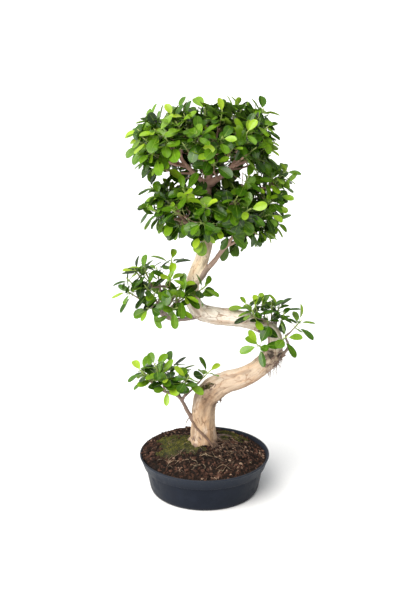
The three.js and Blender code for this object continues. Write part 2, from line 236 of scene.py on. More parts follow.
# %% Floor
FLOOR_REACH = 40.0

floor_mesh = bpy.data.meshes.new("floor")
square = [(x * FLOOR_REACH, y * FLOOR_REACH, 0) for x, y in ((-1, -1), (1, -1), (1, 1), (-1, 1))]
floor_mesh.from_pydata(square, [], [(0, 1, 2, 3)])
floor = bpy.data.objects.new("floor", floor_mesh)
bpy.context.scene.collection.objects.link(floor)

paper, tree, shader, place = material("studio_paper", roughness=0.9)
fibre = noise(tree, place, 180)
white = ramp(tree, fibre, [(0.3, (0.9, 0.9, 0.9)), (0.7, (0.93, 0.93, 0.93))])
feed(tree, shader, Base_Color=white)
floor_mesh.materials.append(paper)

# %% [markdown]
# ## Shapes as arrays
#
# Every piece is a set of points worked out with numpy, the faces between them, and some values that the
# materials read at each point. With arrays, hundreds of leaves or chips are worked out at once, without a
# slow loop over points, and shapes are joined by placing their arrays end to end.

# %% Shapes and meshes
class Shape:
    """Points (n, 3) in millimetres, faces as arrays of equal corner count, values per point by name, and
    optionally a flat place for each face corner."""

    def __init__(self, points, faces, values=None, flat=None):
        self.points = np.asarray(points, float)
        self.faces = [np.asarray(one, int) for one in faces]
        self.values = dict(values or {})
        self.flat = flat


def together(shapes):
    """One shape of several: points end to end, with each face's numbers moved on by the points before it.
    Only the values that all the shapes have are kept."""
    offset = np.cumsum([0] + [len(one.points) for one in shapes])
    faces = [face + start for one, start in zip(shapes, offset) for face in one.faces]
    names = set.intersection(*(set(one.values) for one in shapes))
    values = {name: np.concatenate([one.values[name] for one in shapes]) for name in names}
    flats = [one.flat for one in shapes]
    flat = None if any(one is None for one in flats) else np.concatenate(flats)
    return Shape(np.concatenate([one.points for one in shapes]), faces, values, flat)


def piece(name, shape, finish, sharp=40.0, replaces=()):
    """Makes a Blender object from a shape, in metres, that rides on the part's one body. Only edges
    sharper than the given angle stay crisp."""
    mesh = bpy.data.meshes.new(name)
    sizes = np.concatenate([np.full(len(face), face.shape[1]) for face in shape.faces])
    corners = np.concatenate([face.ravel() for face in shape.faces])
    mesh.vertices.add(len(shape.points))
    mesh.vertices.foreach_set("co", (shape.points * MM).astype(np.float32).ravel())
    mesh.loops.add(len(corners))
    mesh.loops.foreach_set("vertex_index", corners.astype(np.int32))
    mesh.polygons.add(len(sizes))
    mesh.polygons.foreach_set("loop_start", (np.cumsum(sizes) - sizes).astype(np.int32))
    mesh.polygons.foreach_set("use_smooth", np.ones(len(sizes), bool))
    mesh.update(calc_edges=True)
    for key_name, value in shape.values.items():
        kind, field = ("FLOAT", "value") if value.ndim == 1 else ("FLOAT_VECTOR", "vector")
        attribute = mesh.attributes.new(key_name, kind, "POINT")
        attribute.data.foreach_set(field, value.astype(np.float32).ravel())
    if shape.flat is not None:
        mesh.uv_layers.new(name="blade").data.foreach_set("uv", shape.flat.astype(np.float32).ravel())
    mesh.set_sharp_from_angle(angle=math.radians(sharp))
    mesh.materials.append(finish)
    made = bpy.data.objects.new(name, mesh)
    bpy.context.scene.collection.objects.link(made)
    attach(made, "root")
    if replaces:
        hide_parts(*replaces)
    print(f"{name}: {int((sizes - 2).sum())} triangles")


def column(rows, field, width=1, kind=np.int32):
    """One field of all the rows of a mesh as a flat array, with so many numbers to the row."""
    found = np.empty(len(rows) * width, kind)
    rows.foreach_get(field, found)
    return found


def shape_of(mesh):
    """The points, in millimetres, and faces of a finished mesh, with its faces grouped by corner count."""
    points = column(mesh.vertices, "co", 3, np.float32).reshape(-1, 3)
    starts, sizes = (column(mesh.polygons, field) for field in ("loop_start", "loop_total"))
    corners = column(mesh.loops, "vertex_index")
    faces = [corners[starts[sizes == n][:, None] + np.arange(n)] for n in np.unique(sizes)]
    return Shape(points / MM, faces)


# %% Chance that repeats, and small formulas
def vary(n, kind):
    """A repeatable number from 0 to 1 for the n-th thing of a kind: the fractional part of a large sine."""
    wave = math.sin(n * 12.9898 + kind * 78.233) * 43758.5453
    return wave - math.floor(wave)


def eased(share):
    """A share that leaves 0 and reaches 1 gently: 3t*t - 2t*t*t."""
    return share * share * (3 - 2 * share)


def cloud(points, cell, seed):
    """Smooth chance from -1 to 1. Each corner of a lattice of the given cell has a hashed number, and a
    point takes the numbers of its eight corners, weighted by an eased share along each axis."""
    place = np.asarray(points, float) / cell
    base = np.floor(place)
    share = eased(place - base)
    total = np.zeros(len(place))
    for corner in itertools.product((0, 1), repeat=3):
        wave = np.sin((base + corner) @ (127.1, 311.7, 74.7) + 17.3 * seed) * 43758.5453
        weight = np.where(corner, share, 1 - share).prod(axis=1)
        total += (wave - np.floor(wave)) * weight
    return 2 * total - 1


def unit(vectors):
    """Vectors made one long."""
    vectors = np.asarray(vectors, float)
    return vectors / np.linalg.norm(vectors, axis=-1, keepdims=True)


def norm(vectors):
    """The lengths of vectors."""
    return np.linalg.norm(vectors, axis=-1)


def joined(*arrays):
    """Arrays placed end to end."""
    return np.concatenate(arrays)


def abreast(*columns):
    """Columns placed side by side. One number stands for a whole column of it."""
    return np.stack(np.broadcast_arrays(*columns), axis=-1)


def reach_along(line):
    """How far along a line each of its points lies."""
    return joined([0], np.cumsum(norm(np.diff(line, axis=0))))


def angles(count):
    """Angles that divide a full turn evenly."""
    return np.linspace(0, 2 * math.pi, count, endpoint=False)


# %% [markdown]
# ## Node groups that several finishes share
#
# Two effects come back in every material here: large soft patches where the colour drifts, and a fine
# grain in the relief. Each is built once as a node group, and each material places it with its own sizes.

# %% Patches and grain
def group(name, inputs, outputs):
    """An empty node group with sockets. inputs and outputs are rows of (name, type, default)."""
    made = bpy.data.node_groups.new(name, "ShaderNodeTree")
    for direction, rows in (("INPUT", inputs), ("OUTPUT", outputs)):
        for label, kind, value in rows:
            kind = "NodeSocket" + kind
            socket = made.interface.new_socket(name=label, in_out=direction, socket_type=kind)
            if value is not None:
                socket.default_value = value
    return made, made.nodes.new("NodeGroupInput").outputs, made.nodes.new("NodeGroupOutput").inputs


patches, given, result = group(
    "patches",
    [("Place", "Vector", None), ("Per metre", "Float", 30.0),
     ("Low", "Float", 0.4), ("High", "Float", 0.6)],
    [("Mask", "Float", None)],
)
coarse = noise(patches, given["Place"], given["Per metre"], detail=4.0, roughness=0.6)
spread = node(patches, "MapRange", {"interpolation_type": "SMOOTHSTEP"}, Value=coarse)
patches.links.new(given["Low"], spread.inputs[1])
patches.links.new(given["High"], spread.inputs[2])
patches.links.new(spread.outputs[0], result["Mask"])

grain, given, result = group(
    "grain",
    [("Place", "Vector", None), ("Coarse per metre", "Float", 200.0),
     ("Fine per metre", "Float", 1500.0), ("Fine share", "Float", 0.4)],
    [("Height", "Float", None)],
)
wide = noise(grain, given["Place"], given["Coarse per metre"], detail=2.0)
tight = noise(grain, given["Place"], given["Fine per metre"], detail=2.0)
mixed = plus(grain, wide, times(grain, tight, given["Fine share"]))
grain.links.new(mixed, result["Height"])


def patch(tree, place, per_metre, low, high):
    """The patches group, placed in a material."""
    made = node(tree, "Group", {"node_tree": patches}, Place=place, Per_metre=per_metre,
                Low=low, High=high)
    return made.outputs["Mask"]


def relief(tree, place, coarse_per_metre, fine_per_metre, fine_share, strength, depth, more=None):
    """A normal from the grain group. depth is its height in metres, and more is added to that height."""
    made = node(tree, "Group", {"node_tree": grain}, Place=place, Fine_share=fine_share,
                Coarse_per_metre=coarse_per_metre, Fine_per_metre=fine_per_metre)
    height = made.outputs["Height"] if more is None else plus(tree, made.outputs["Height"], more)
    return node(tree, "Bump", Strength=strength, Distance=depth, Height=height).outputs[0]


# %% [markdown]
# ## The pot
#
# The real pot is blow-moulded in thin dark plastic: a plain wall, and under the rim a taller band that
# stands proud so that pots can be stacked and lifted. It could be made with a Screw modifier on a drawn
# outline. Here the outline is a list of corners, turned about the axis. Each has its own rounding, because
# a rim's rounded edge is what catches the light as a thin bright line.

# %% Outline of the pot
RIM_RADIUS, POT_HEIGHT, BAND_HEIGHT = 135.0, 79.0, 25.0
BAND_FOOT_RADIUS, WALL_TOP_RADIUS, FOOT_RADIUS = 127.0, 123.0, 113.0
WALL, FLOOR_THICKNESS = 2.5, 4.0
BAND_FOOT = POT_HEIGHT - BAND_HEIGHT
DRAIN_COUNT, DRAIN_CIRCLE, DRAIN_RADIUS = 5, 62.0, 6.0
POT_SIDES = 180

POT_OUTLINE = [
    # radius, height, rounding
    (0, 0, 0), (22, 0, 0.8), (25, 2, 0.8), (93, 2, 0.8), (95, 0, 0.8),
    (FOOT_RADIUS - 5, 0, 2.0), (FOOT_RADIUS, 5, 4.0), (WALL_TOP_RADIUS, BAND_FOOT, 0.9),
    (BAND_FOOT_RADIUS, BAND_FOOT + 1.5, 1.1), (RIM_RADIUS - 1.2, POT_HEIGHT - 4.2, 0.9),
    (RIM_RADIUS, POT_HEIGHT - 2.8, 0.8), (RIM_RADIUS, POT_HEIGHT, 0.9), (RIM_RADIUS - 3.4, POT_HEIGHT, 0.9),
    (BAND_FOOT_RADIUS - WALL, BAND_FOOT + 2, 1.0), (WALL_TOP_RADIUS - WALL, BAND_FOOT - 2, 1.0),
    (FOOT_RADIUS - WALL - 2, FLOOR_THICKNESS, 3.0), (0, FLOOR_THICKNESS, 0),
]


def rounded(outline, steps=4, longest=7.0):
    """An outline with its corners rounded. At each corner a curve (1-t)(1-t)P + 2t(1-t)Q + ttR runs from P,
    its rounding short of the corner Q, to R, as far past it. Long straight stretches get points between."""
    outline = np.asarray(outline, float)
    places, rounding = outline[:, :2], outline[:, 2]
    done = [places[:1]]
    for before, corner, after, radius in zip(places, places[1:], places[2:], rounding[1:]):
        start = corner + unit(before - corner) * radius
        end = corner + unit(after - corner) * radius
        t = np.linspace(0, 1, steps + 1)[:, None]
        done.append((1 - t) ** 2 * start + 2 * t * (1 - t) * corner + t * t * end)
    done = joined(*done, places[-1:])
    spans = norm(np.diff(done, axis=0))
    split = [np.linspace(a, b, max(1, math.ceil(span / longest)), endpoint=False)
             for a, b, span in zip(done, done[1:], spans)]
    return joined(*split, done[-1:])


def ring_faces(rings, sides):
    """Faces between closed rings of points, and fans that close them on two poles, which are numbered
    last. A ring runs anticlockwise seen from the last pole."""
    here = np.arange(rings * sides).reshape(rings, sides)
    beside = np.roll(here, -1, axis=1)
    quads = abreast(here[:-1], beside[:-1], beside[1:], here[1:]).reshape(-1, 4)
    first, last = rings * sides, rings * sides + 1
    start = abreast(first, beside[0], here[0])
    end = abreast(last, here[-1], beside[-1])
    return [quads, joined(start, end)]


def turned(outline, sides):
    """An outline of (radius, height) rows turned about the upright axis, from pole to pole: a point is
    (r cos a, r sin a, h)."""
    outline = np.asarray(outline, float)
    angle = angles(sides)
    radius, height = outline[1:-1, :1], outline[1:-1, 1:]
    rings = abreast(radius * np.cos(angle), radius * np.sin(angle), height)
    poles = [(0, 0, outline[0, 1]), (0, 0, outline[-1, 1])]
    return Shape(joined(rings.reshape(-1, 3), poles), ring_faces(len(outline) - 2, sides))


pot_outline = rounded(POT_OUTLINE)
print("pot outline:", len(pot_outline), "points")

# %% Finish of the pot
slate, tree, shader, place = material("slate_plastic", roughness=0.5, Specular_IOR_Level=0.12,
                                      Specular_Tint=(0.72, 0.87, 1.0, 1.0))
facing_up = parts(tree, node(tree, "NewGeometry").outputs["Normal"])["Z"]
height = parts(tree, place)["Z"]
scuffed = patch(tree, place, 45, 0.42, 0.66)
specks = patch(tree, place, 420, 0.6, 0.68)
near_rim = stepped(tree, height, 0.05, 0.079)
upward = stepped(tree, facing_up, 0.1, 0.9)
dusty = times(tree, specks, plus(tree, times(tree, near_rim, 0.16), 0.04))
dusty = plus(tree, dusty, times(tree, upward, 0.1), clamp=True)
plain = blended(tree, scuffed, (0.0072, 0.0088, 0.015), (0.0105, 0.0128, 0.0205))
# The band under the rim is painted lighter than the wall below it: painted light where the band catches the
# lamp.
band_lit = tinted(tree, plain, (near_rim, 0.55, (0.024, 0.029, 0.041)))
feed(tree, shader, Base_Color=blended(tree, dusty, band_lit, (0.12, 0.115, 0.105)))
feed(tree, shader, Roughness=stepped(tree, scuffed, 0.0, 1.0, 0.44, 0.6))
drawn = stretched(tree, place, 1, 1, 0.06)
feed(tree, shader, Normal=relief(tree, drawn, 260, 2200, 0.35, 0.22, 0.0006))

# %% The pot with its drain holes
def upright_bars(places, radius, low, high, sides):
    """Closed round bars that stand at the given places, for cutting holes."""
    bar = turned([(0, low), (radius, low), (radius, high), (0, high)], sides)
    return together([Shape(bar.points + (x, y, 0), bar.faces) for x, y in places])


def plain_object(name, shape):
    """A mesh that is only used to make another, and isn't part of the picture."""
    mesh = bpy.data.meshes.new(name)
    faces = [row for face in shape.faces for row in face.tolist()]
    mesh.from_pydata((shape.points * MM).tolist(), [], faces)
    made = bpy.data.objects.new(name, mesh)
    bpy.context.scene.collection.objects.link(made)
    return made


def worked(made):
    """The shape of an object with its modifiers applied."""
    evaluated = made.evaluated_get(bpy.context.evaluated_depsgraph_get())
    mesh = bpy.data.meshes.new_from_object(evaluated)
    shape = shape_of(mesh)
    bpy.data.meshes.remove(mesh)
    return shape


DRILL = (-4, 12, 32)      # the heights that it goes from and to, and its sides

drain_angle = (np.arange(DRAIN_COUNT) + 0.5) / DRAIN_COUNT * 2 * math.pi
drain_places = DRAIN_CIRCLE * abreast(np.cos(drain_angle), np.sin(drain_angle))
whole_pot = plain_object("whole_pot", turned(pot_outline, POT_SIDES))
drill = plain_object("drill", upright_bars(drain_places, DRAIN_RADIUS, *DRILL))
cut = whole_pot.modifiers.new("drains", "BOOLEAN")
cut.object = drill
pot_shape = worked(whole_pot)
bpy.data.objects.remove(whole_pot)
bpy.data.objects.remove(drill)
piece("pot_shell", pot_shape, slate, sharp=35.0, replaces=["pot"])

# %% [markdown]
# ## The soil
#
# Bonsai grow in a loose mix, here mostly composted bark, heaped against the foot of the tree. A displaced
# plane alone looks like brown dough, because the eye looks for chips that overlap and throw small shadows.
# So the bed is built twice: a closed mound that gives the heap its form and fills the gaps, and about 3,700
# chips of 20 points laid on it. It is banked at the back left, where some chips lie on the rim itself.

# %% The mound
SOIL_EDGE_HEIGHT, MOUND_HEIGHT, SOIL_EDGE_RADIUS = 71.0, 31.0, 128.4
MOUND_RADIUS = BAND_FOOT_RADIUS - WALL
SOIL_SIDES, SOIL_RINGS = 200, 62
BANK_HEIGHT, BANK_WAY = 9.5, math.radians(142)


def soil_height(x, y):
    """The heap's height: a mound that falls as (1 - r*r) to the power 1.15, soft waves on it that die out
    towards the wall, and a bank against the wall at the back left."""
    reach = np.minimum(1, np.hypot(x, y) / MOUND_RADIUS)
    mound = MOUND_HEIGHT * (1 - reach ** 2) ** 1.15
    coarse = 1.3 * np.sin(0.36 * x + 1.3) * np.cos(0.43 * y)
    fine = 0.9 * np.sin(0.25 * x - 0.31 * y + 2)
    near_wall = np.clip((reach - 0.66) / 0.3, 0, 1)
    aside = np.cos(np.arctan2(y, x) - BANK_WAY)
    bank = BANK_HEIGHT * eased(near_wall) * np.clip(0.35 + 0.9 * aside, 0, 1)
    return SOIL_EDGE_HEIGHT + mound + (coarse + fine) * (1 - reach ** 8) + bank


def crumbs(x, y):
    """Small ups and downs of the heap, about two millimetres, that die out towards the wall."""
    ground = abreast(x, y, 0)
    rough = 1.3 * cloud(ground, 9.0, 1) + 0.9 * cloud(ground, 4.2, 2) + 0.5 * cloud(ground, 2.1, 3)
    return (rough - 0.8) * (1 - np.minimum(1, np.hypot(x, y) / SOIL_EDGE_RADIUS) ** 10)


soil_outline = [(0, 4.3), (FOOT_RADIUS - WALL - 2.6, 4.3), (WALL_TOP_RADIUS - WALL - 0.6, BAND_FOOT - 2),
                (MOUND_RADIUS - 0.6, BAND_FOOT + 2)]
soil_outline += [(radius, SOIL_EDGE_HEIGHT) for radius in np.linspace(SOIL_EDGE_RADIUS, 0, SOIL_RINGS)]
mound = turned(soil_outline, SOIL_SIDES)
x, y, z = mound.points.T
top = z > SOIL_EDGE_HEIGHT - 1
mound.points[top, 2] = soil_height(x[top], y[top]) + crumbs(x[top], y[top])

# %% Finish of the mound
earth, tree, shader, place = material("bark_compost", roughness=0.95, Specular_IOR_Level=0.2)
crumb = noise(tree, place, 420, detail=5.0)
damp = patch(tree, place, 22, 0.42, 0.6)
dry = ramp(tree, crumb, [
    (0.3, (0.006, 0.004, 0.003)), (0.55, (0.018, 0.01, 0.007)), (0.8, (0.05, 0.028, 0.018)),
])
wet = ramp(tree, crumb, [
    (0.3, (0.004, 0.003, 0.002)), (0.6, (0.012, 0.007, 0.005)), (0.8, (0.03, 0.017, 0.011)),
])
feed(tree, shader, Base_Color=blended(tree, damp, dry, wet))
feed(tree, shader, Normal=relief(tree, place, 500, 1800, 0.5, 0.9, 0.0015))
piece("soil_mound", mound, earth, sharp=60.0, replaces=["soil"])

# %% Where moss has settled
MOSS_PATCHES = [
    # centre x, y, half length, half width, turn in degrees
    (-46, 6, 46, 40, 10), (-24, -24, 28, 17, -20), (-74, 44, 30, 24, 60), (60, 70, 44, 24, -50),
    (38, 36, 20, 12, 10), (-74, -28, 28, 15, -15),
]
MOSS_HEIGHT = 3.4
MOSS_SPIKES = 9000


def moss_depth(x, y):
    """The moss's height above the heap, a low lumpy dome over each patch, and how far inside a patch's
    ragged edge each place is."""
    ground = abreast(x, y, 0)
    ragged = 0.34 * cloud(ground, 11.0, 5) + 0.16 * cloud(ground, 4.0, 6)
    depth = np.full(len(x), -1.0)
    for centre_x, centre_y, half_length, half_width, turn in MOSS_PATCHES:
        cos, sin = math.cos(math.radians(turn)), math.sin(math.radians(turn))
        east, north = x - centre_x, y - centre_y
        far = np.hypot((east * cos + north * sin) / half_length, (north * cos - east * sin) / half_width)
        depth = np.maximum(depth, 1 - far + ragged)
    return MOSS_HEIGHT * np.sqrt(np.clip(depth, 0, 1)) * (1 + 0.3 * cloud(ground, 5.0, 7)), depth


# %% Bark chips
CHIPS, CHIP_SIDES = 4000, 6
LARGE_CHIPS, LARGE_CHIPS_FROM = 80, 46.0      # how many, and how far out they start
RIM_CHIPS, RIM_BAND, RIM_SPREAD = 420, (118, 130), 1.1      # how many, between which radii, radians aside
FOOT = (-3.0, 9.0)      # where the trunk stands
FOOT_CLEAR = 27.0
chance = np.random.default_rng(11)


def strewn(count, low=0.0, high=SOIL_EDGE_RADIUS - 3.0):
    """Places spread evenly over a ring of ground: a radius whose square is even, at any angle."""
    radius = np.sqrt(chance.uniform(low ** 2, high ** 2, count))
    angle = chance.uniform(0, 2 * math.pi, count)
    return radius * np.cos(angle), radius * np.sin(angle)


def lying(x, y, tilt):
    """Axes (length, width, up) of things that lie on the heap: up is the heap's slope, leaned by up to the
    given share, and length points any way across it."""
    step = 1.5
    slope_x = (soil_height(x + step, y) - soil_height(x - step, y)) / (2 * step)
    slope_y = (soil_height(x, y + step) - soil_height(x, y - step)) / (2 * step)
    up = unit(abreast(-slope_x, -slope_y, 1) + tilt * chance.normal(size=(len(x), 3)))
    spin = chance.normal(size=(len(x), 3))
    length = unit(spin - up * (spin * up).sum(axis=1, keepdims=True))
    return length, np.cross(up, length), up


def repeated(faces, points_each, count):
    """The faces of one small shape for each of many copies, whose points follow each other."""
    starts = (np.arange(count) * points_each)[:, None, None]
    return [(one + starts).reshape(-1, one.shape[1]) for one in faces]


def chips(x, y, length, lift):
    """Slabs of bark. Each has three rings of six points, the middle one widest, whose radii differ by
    chance, and a point above and below."""
    count = len(x)
    angle = angles(CHIP_SIDES)
    ring_scale = np.array([0.78, 1.0, 0.7])[:, None]
    ring_height = np.array([-0.5, 0.0, 0.5])[:, None]
    reach = ring_scale * chance.uniform(0.72, 1.2, (count, 3, CHIP_SIDES))
    width = length * chance.uniform(0.42, 0.8, count)
    thick = np.clip(length * chance.uniform(0.16, 0.34, count), 1.2, 4.0)
    local = abreast(
        reach * np.cos(angle) * (length / 2)[:, None, None],
        reach * np.sin(angle) * (width / 2)[:, None, None],
        (ring_height + chance.uniform(-0.14, 0.14, reach.shape)) * thick[:, None, None],
    ).reshape(count, -1, 3)
    ends = np.zeros((count, 2, 3))
    ends[:, 0, 2], ends[:, 1, 2] = -0.55 * thick, 0.55 * thick
    local = np.concatenate([local, ends], axis=1)
    axes = np.stack(lying(x, y, 0.34), axis=1)
    centre = abreast(x, y, soil_height(x, y) + crumbs(x, y) + lift * thick)
    points = centre[:, None] + np.einsum("nki,nij->nkj", local, axes)
    per = points.shape[1]
    grain_at = local + chance.uniform(-500, 500, (count, 1, 3))
    values = {
        "tone": np.repeat(chance.uniform(0, 1, count), per),
        "grain_at": grain_at.reshape(-1, 3) * (0.25, 1.0, 1.0) * MM,
    }
    return Shape(points.reshape(-1, 3), repeated(ring_faces(3, CHIP_SIDES), per, count), values)


x, y = strewn(CHIPS)
in_moss = moss_depth(x, y)[1] > chance.uniform(0.0, 0.45, CHIPS)
clear = (np.hypot(x - FOOT[0], y - FOOT[1]) > FOOT_CLEAR) & ~in_moss
x, y = x[clear], y[clear]
small = chips(x, y, chance.gamma(4.0, 0.95, len(x)) + 2.2, 0.22)
x, y = strewn(LARGE_CHIPS, LARGE_CHIPS_FROM, SOIL_EDGE_RADIUS - 9.0)
bare = moss_depth(x, y)[1] < 0
large = chips(x[bare], y[bare], chance.uniform(8, 15, bare.sum()), 0.25)
edge_radius = chance.uniform(*RIM_BAND, RIM_CHIPS)
edge_angle = BANK_WAY + chance.uniform(-RIM_SPREAD, RIM_SPREAD, RIM_CHIPS)
rim_lift = chance.uniform(0.1, 1.1, RIM_CHIPS)
by_rim = chips(edge_radius * np.cos(edge_angle), edge_radius * np.sin(edge_angle),
               chance.uniform(3.5, 8, RIM_CHIPS), rim_lift)
bed = together([small, large, by_rim])

# %% Finish of the chips
chip_bark, tree, shader, place = material("bark_chip", roughness=0.85, Specular_IOR_Level=0.2)
tone = carried(tree, "tone")
along_grain = carried(tree, "grain_at", "Vector")
streak = noise(tree, along_grain, 900, detail=4.0)
shade = plus(tree, tone, swing(tree, streak, 0.55))
# The heap has dried a little paler on the right, and is darker and lighter in zones.
drier = stepped(tree, parts(tree, place)["X"], -0.06, 0.09, -0.07, 0.05)
zones = swing(tree, patch(tree, place, 26, 0.36, 0.64), 0.22)
shade = plus(tree, shade, plus(tree, drier, zones), clamp=True)
brown = ramp(tree, shade, [
    (0, (0.006, 0.004, 0.003)), (0.4, (0.021, 0.0105, 0.0065)), (0.72, (0.052, 0.023, 0.014)),
    (0.91, (0.105, 0.05, 0.033)), (0.97, (0.15, 0.085, 0.06)), (1, (0.28, 0.19, 0.13)),
])
feed(tree, shader, Base_Color=brown, Normal=relief(tree, along_grain, 1400, 4200, 0.4, 0.7, 0.0008))
piece("bark_chips", bed, chip_bark, sharp=28.0)

# %% [markdown]
# ## Fibres and moss
#
# Pale straws of coir and dead root lie among the chips, and moss has settled where the heap stays damp. A
# straw is a thin tube along a curved line. Moss could be a green bump map, but seen from the side it then
# has no pile. Here it is a low cushion with thousands of small spikes of four faces each.

# %% Lines with thickness
def frames_along(centres, first=(1.0, 0.13, 0.21)):
    """Axes (along, across, side) at each point of a line. across is the one before it, straightened only
    as much as the line bends, so that a tube never twists."""
    along = unit(np.gradient(centres, axis=-2))
    across = np.empty_like(along)
    now = np.broadcast_to(np.array(first, float), along[..., 0, :].shape)
    for row in range(along.shape[-2]):
        direction = along[..., row, :]
        now = unit(now - direction * (now * direction).sum(axis=-1, keepdims=True))
        across[..., row, :] = now
    return along, across, np.cross(along, across)


def tube(centres, radius, sides, first=(1.0, 0.13, 0.21)):
    """A closed tube: at each point of the line, a ring of the given radius, which may change along the line
    and round it. Each point carries its place in the tube laid straight."""
    centres = np.asarray(centres, float)
    along, across, side = frames_along(centres, first)
    angle = angles(sides)
    radius = np.broadcast_to(np.asarray(radius, float).reshape(len(centres), -1), (len(centres), sides))
    ring = abreast(radius * np.cos(angle), radius * np.sin(angle))
    rings = centres[:, None] + ring[..., :1] * across[:, None] + ring[..., 1:] * side[:, None]
    reach = reach_along(centres)
    straight = np.concatenate([ring, np.broadcast_to(reach[:, None, None], (*radius.shape, 1))], axis=-1)
    points = joined(rings.reshape(-1, 3), centres[[0, -1]])
    straight = joined(straight.reshape(-1, 3), [(0, 0, 0), (0, 0, reach[-1])])
    return Shape(points, ring_faces(len(centres), sides), {"straight": straight})


# %% Straws
STRAWS, STRAW_LENGTHS = 130, (5, 32)
ROOT_STRAWS, ROOT_STRAW_LENGTHS = 100, (5, 14)      # in the mat of dead roots to the right of the trunk
MAT_X, MAT_Y, MAT_TONE = (16, 78), (-48, 26), 0.6      # where that mat lies, and how dark it is
STRAW_ROWS, STRAW_SIDES = 7, 5


def straw(x, y, length, radius):
    """A fibre that lies on the heap along one direction, bent sideways and lifted in a low arch."""
    ahead, aside, up = (axis[0] for axis in lying(np.array([x]), np.array([y]), 0.2))
    t = np.linspace(-1, 1, STRAW_ROWS)[:, None]
    bend, arch = chance.uniform(-0.35, 0.35), chance.uniform(0.02, 0.22)
    line = np.array([x, y, 0]) + length / 2 * (t * ahead + bend * (1 - t * t) * aside)
    line[:, 2] = soil_height(line[:, 0], line[:, 1]) + 1.6 + length * arch * (1 - t[:, 0] ** 2)
    made = tube(line, radius * (1.05 - 0.5 * t[:, 0] ** 2), STRAW_SIDES)
    made.values["tone"] = np.full(len(made.points), chance.uniform())
    return made


x, y = strewn(STRAWS, 32.0, SOIL_EDGE_RADIUS - 18.0)
x = np.append(x, chance.uniform(*MAT_X, ROOT_STRAWS))
y = np.append(y, chance.uniform(*MAT_Y, ROOT_STRAWS))
lengths = chance.gamma(3.0, 4.2, len(x)).clip(*STRAW_LENGTHS)
lengths[STRAWS:] = lengths[STRAWS:].clip(*ROOT_STRAW_LENGTHS)
straws = together([straw(*row, chance.uniform(0.28, 0.5)) for row in zip(x, y, lengths)])
tones = straws.values["tone"]
tones[len(tones) * STRAWS // len(x):] *= MAT_TONE

straw_finish, tree, shader, place = material("dry_straw", roughness=0.75)
tone = carried(tree, "tone")
stain = plus(tree, tone, times(tree, patch(tree, place, 220, 0.4, 0.7), -0.4), clamp=True)
feed(tree, shader, Base_Color=ramp(tree, stain, [
    (0, (0.05, 0.028, 0.018)), (0.45, (0.17, 0.11, 0.065)), (1, (0.42, 0.32, 0.2)),
]))
feed(tree, shader, Normal=relief(tree, place, 1800, 5000, 0.4, 0.4, 0.0004))
piece("straw_fibres", straws, straw_finish)

# %% Moss cushions
def moss_surface(x, y):
    """Height of the moss itself, which is sunk under the heap outside its patches."""
    deep, inside = moss_depth(x, y)
    return soil_height(x, y) + crumbs(x, y) + deep - 2.6 * (inside < 0.02)


CUSHION_RINGS, CUSHION_SIDES = 26, 72
CUSHION_REACH = 1.28      # how far past its patch a cushion goes, under the heap


def cushion(centre_x, centre_y, half_length, half_width, turn):
    """A closed cushion: rings of points over an oval of ground, raised to the moss on top, sunk below."""
    share = np.linspace(CUSHION_REACH, 0, CUSHION_RINGS)
    upper = abreast(share, 0)
    made = turned(joined([(0, -1), (CUSHION_REACH, -1)], upper), CUSHION_SIDES)
    cos, sin = math.cos(math.radians(turn)), math.sin(math.radians(turn))
    east, north, level = made.points.T
    east, north = east * half_length, north * half_width
    x, y = centre_x + east * cos - north * sin, centre_y + east * sin + north * cos
    z = np.where(level < -0.5, soil_height(x, y) - 7, moss_surface(x, y))
    made.points = abreast(x, y, z)
    return made


SPIKE_TRIES, SPIKE_CLEAR, SPIKE_FOOT = 9, 22, 0.42


def spike_feet(east, north):
    """Three points round each spike's base, across its two directions, turned by chance."""
    turn = chance.uniform(0, 2 * math.pi, len(east))[:, None] + angles(3)
    return SPIKE_FOOT * (np.cos(turn)[..., None] * east[:, None] + np.sin(turn)[..., None] * north[:, None])


def pyramids(base, feet, tip, tone):
    """Many thin pyramids as one shape, each of three foot points and a tip, all measured from its base."""
    points = np.concatenate([base[:, None] + feet, (base + tip)[:, None]], axis=1)
    one = [np.array([(0, 2, 1), (0, 1, 3), (1, 2, 3), (2, 0, 3)])]
    return Shape(points.reshape(-1, 3), repeated(one, 4, len(base)), {"tone": np.repeat(tone, 4)})


def spikes(count):
    """Spikes on the moss that lean by chance. Several places are tried for each, as most miss the moss."""
    x, y = strewn(count * SPIKE_TRIES, 18.0)
    deep, inside = moss_depth(x, y)
    off_trunk = np.hypot(x - FOOT[0], y - FOOT[1]) > SPIKE_CLEAR
    found = np.flatnonzero((inside > 0.03) & off_trunk)[:count]
    x, y, deep = x[found], y[found], deep[found]
    base = abreast(x, y, soil_height(x, y) + crumbs(x, y) + deep - 0.4)
    feet = spike_feet(np.broadcast_to((1, 0, 0), base.shape), np.broadcast_to((0, 1, 0), base.shape))
    lean = chance.normal(size=(len(x), 3)) * (0.55, 0.55, 0.2) + (0, 0, 1.5)
    tip = unit(lean) * chance.uniform(1.3, 3.1, (len(x), 1))
    return pyramids(base, feet, tip, chance.uniform(0, 1, len(x)))


cushions = together([cushion(*row) for row in MOSS_PATCHES])
cushions.values["tone"] = 0.25 + 0.2 * cloud(cushions.points, 5.0, 9)

moss_finish, tree, shader, place = material("moss", roughness=0.9)
tone = carried(tree, "tone")
drift = swing(tree, patch(tree, place, 70, 0.3, 0.7), 0.5)
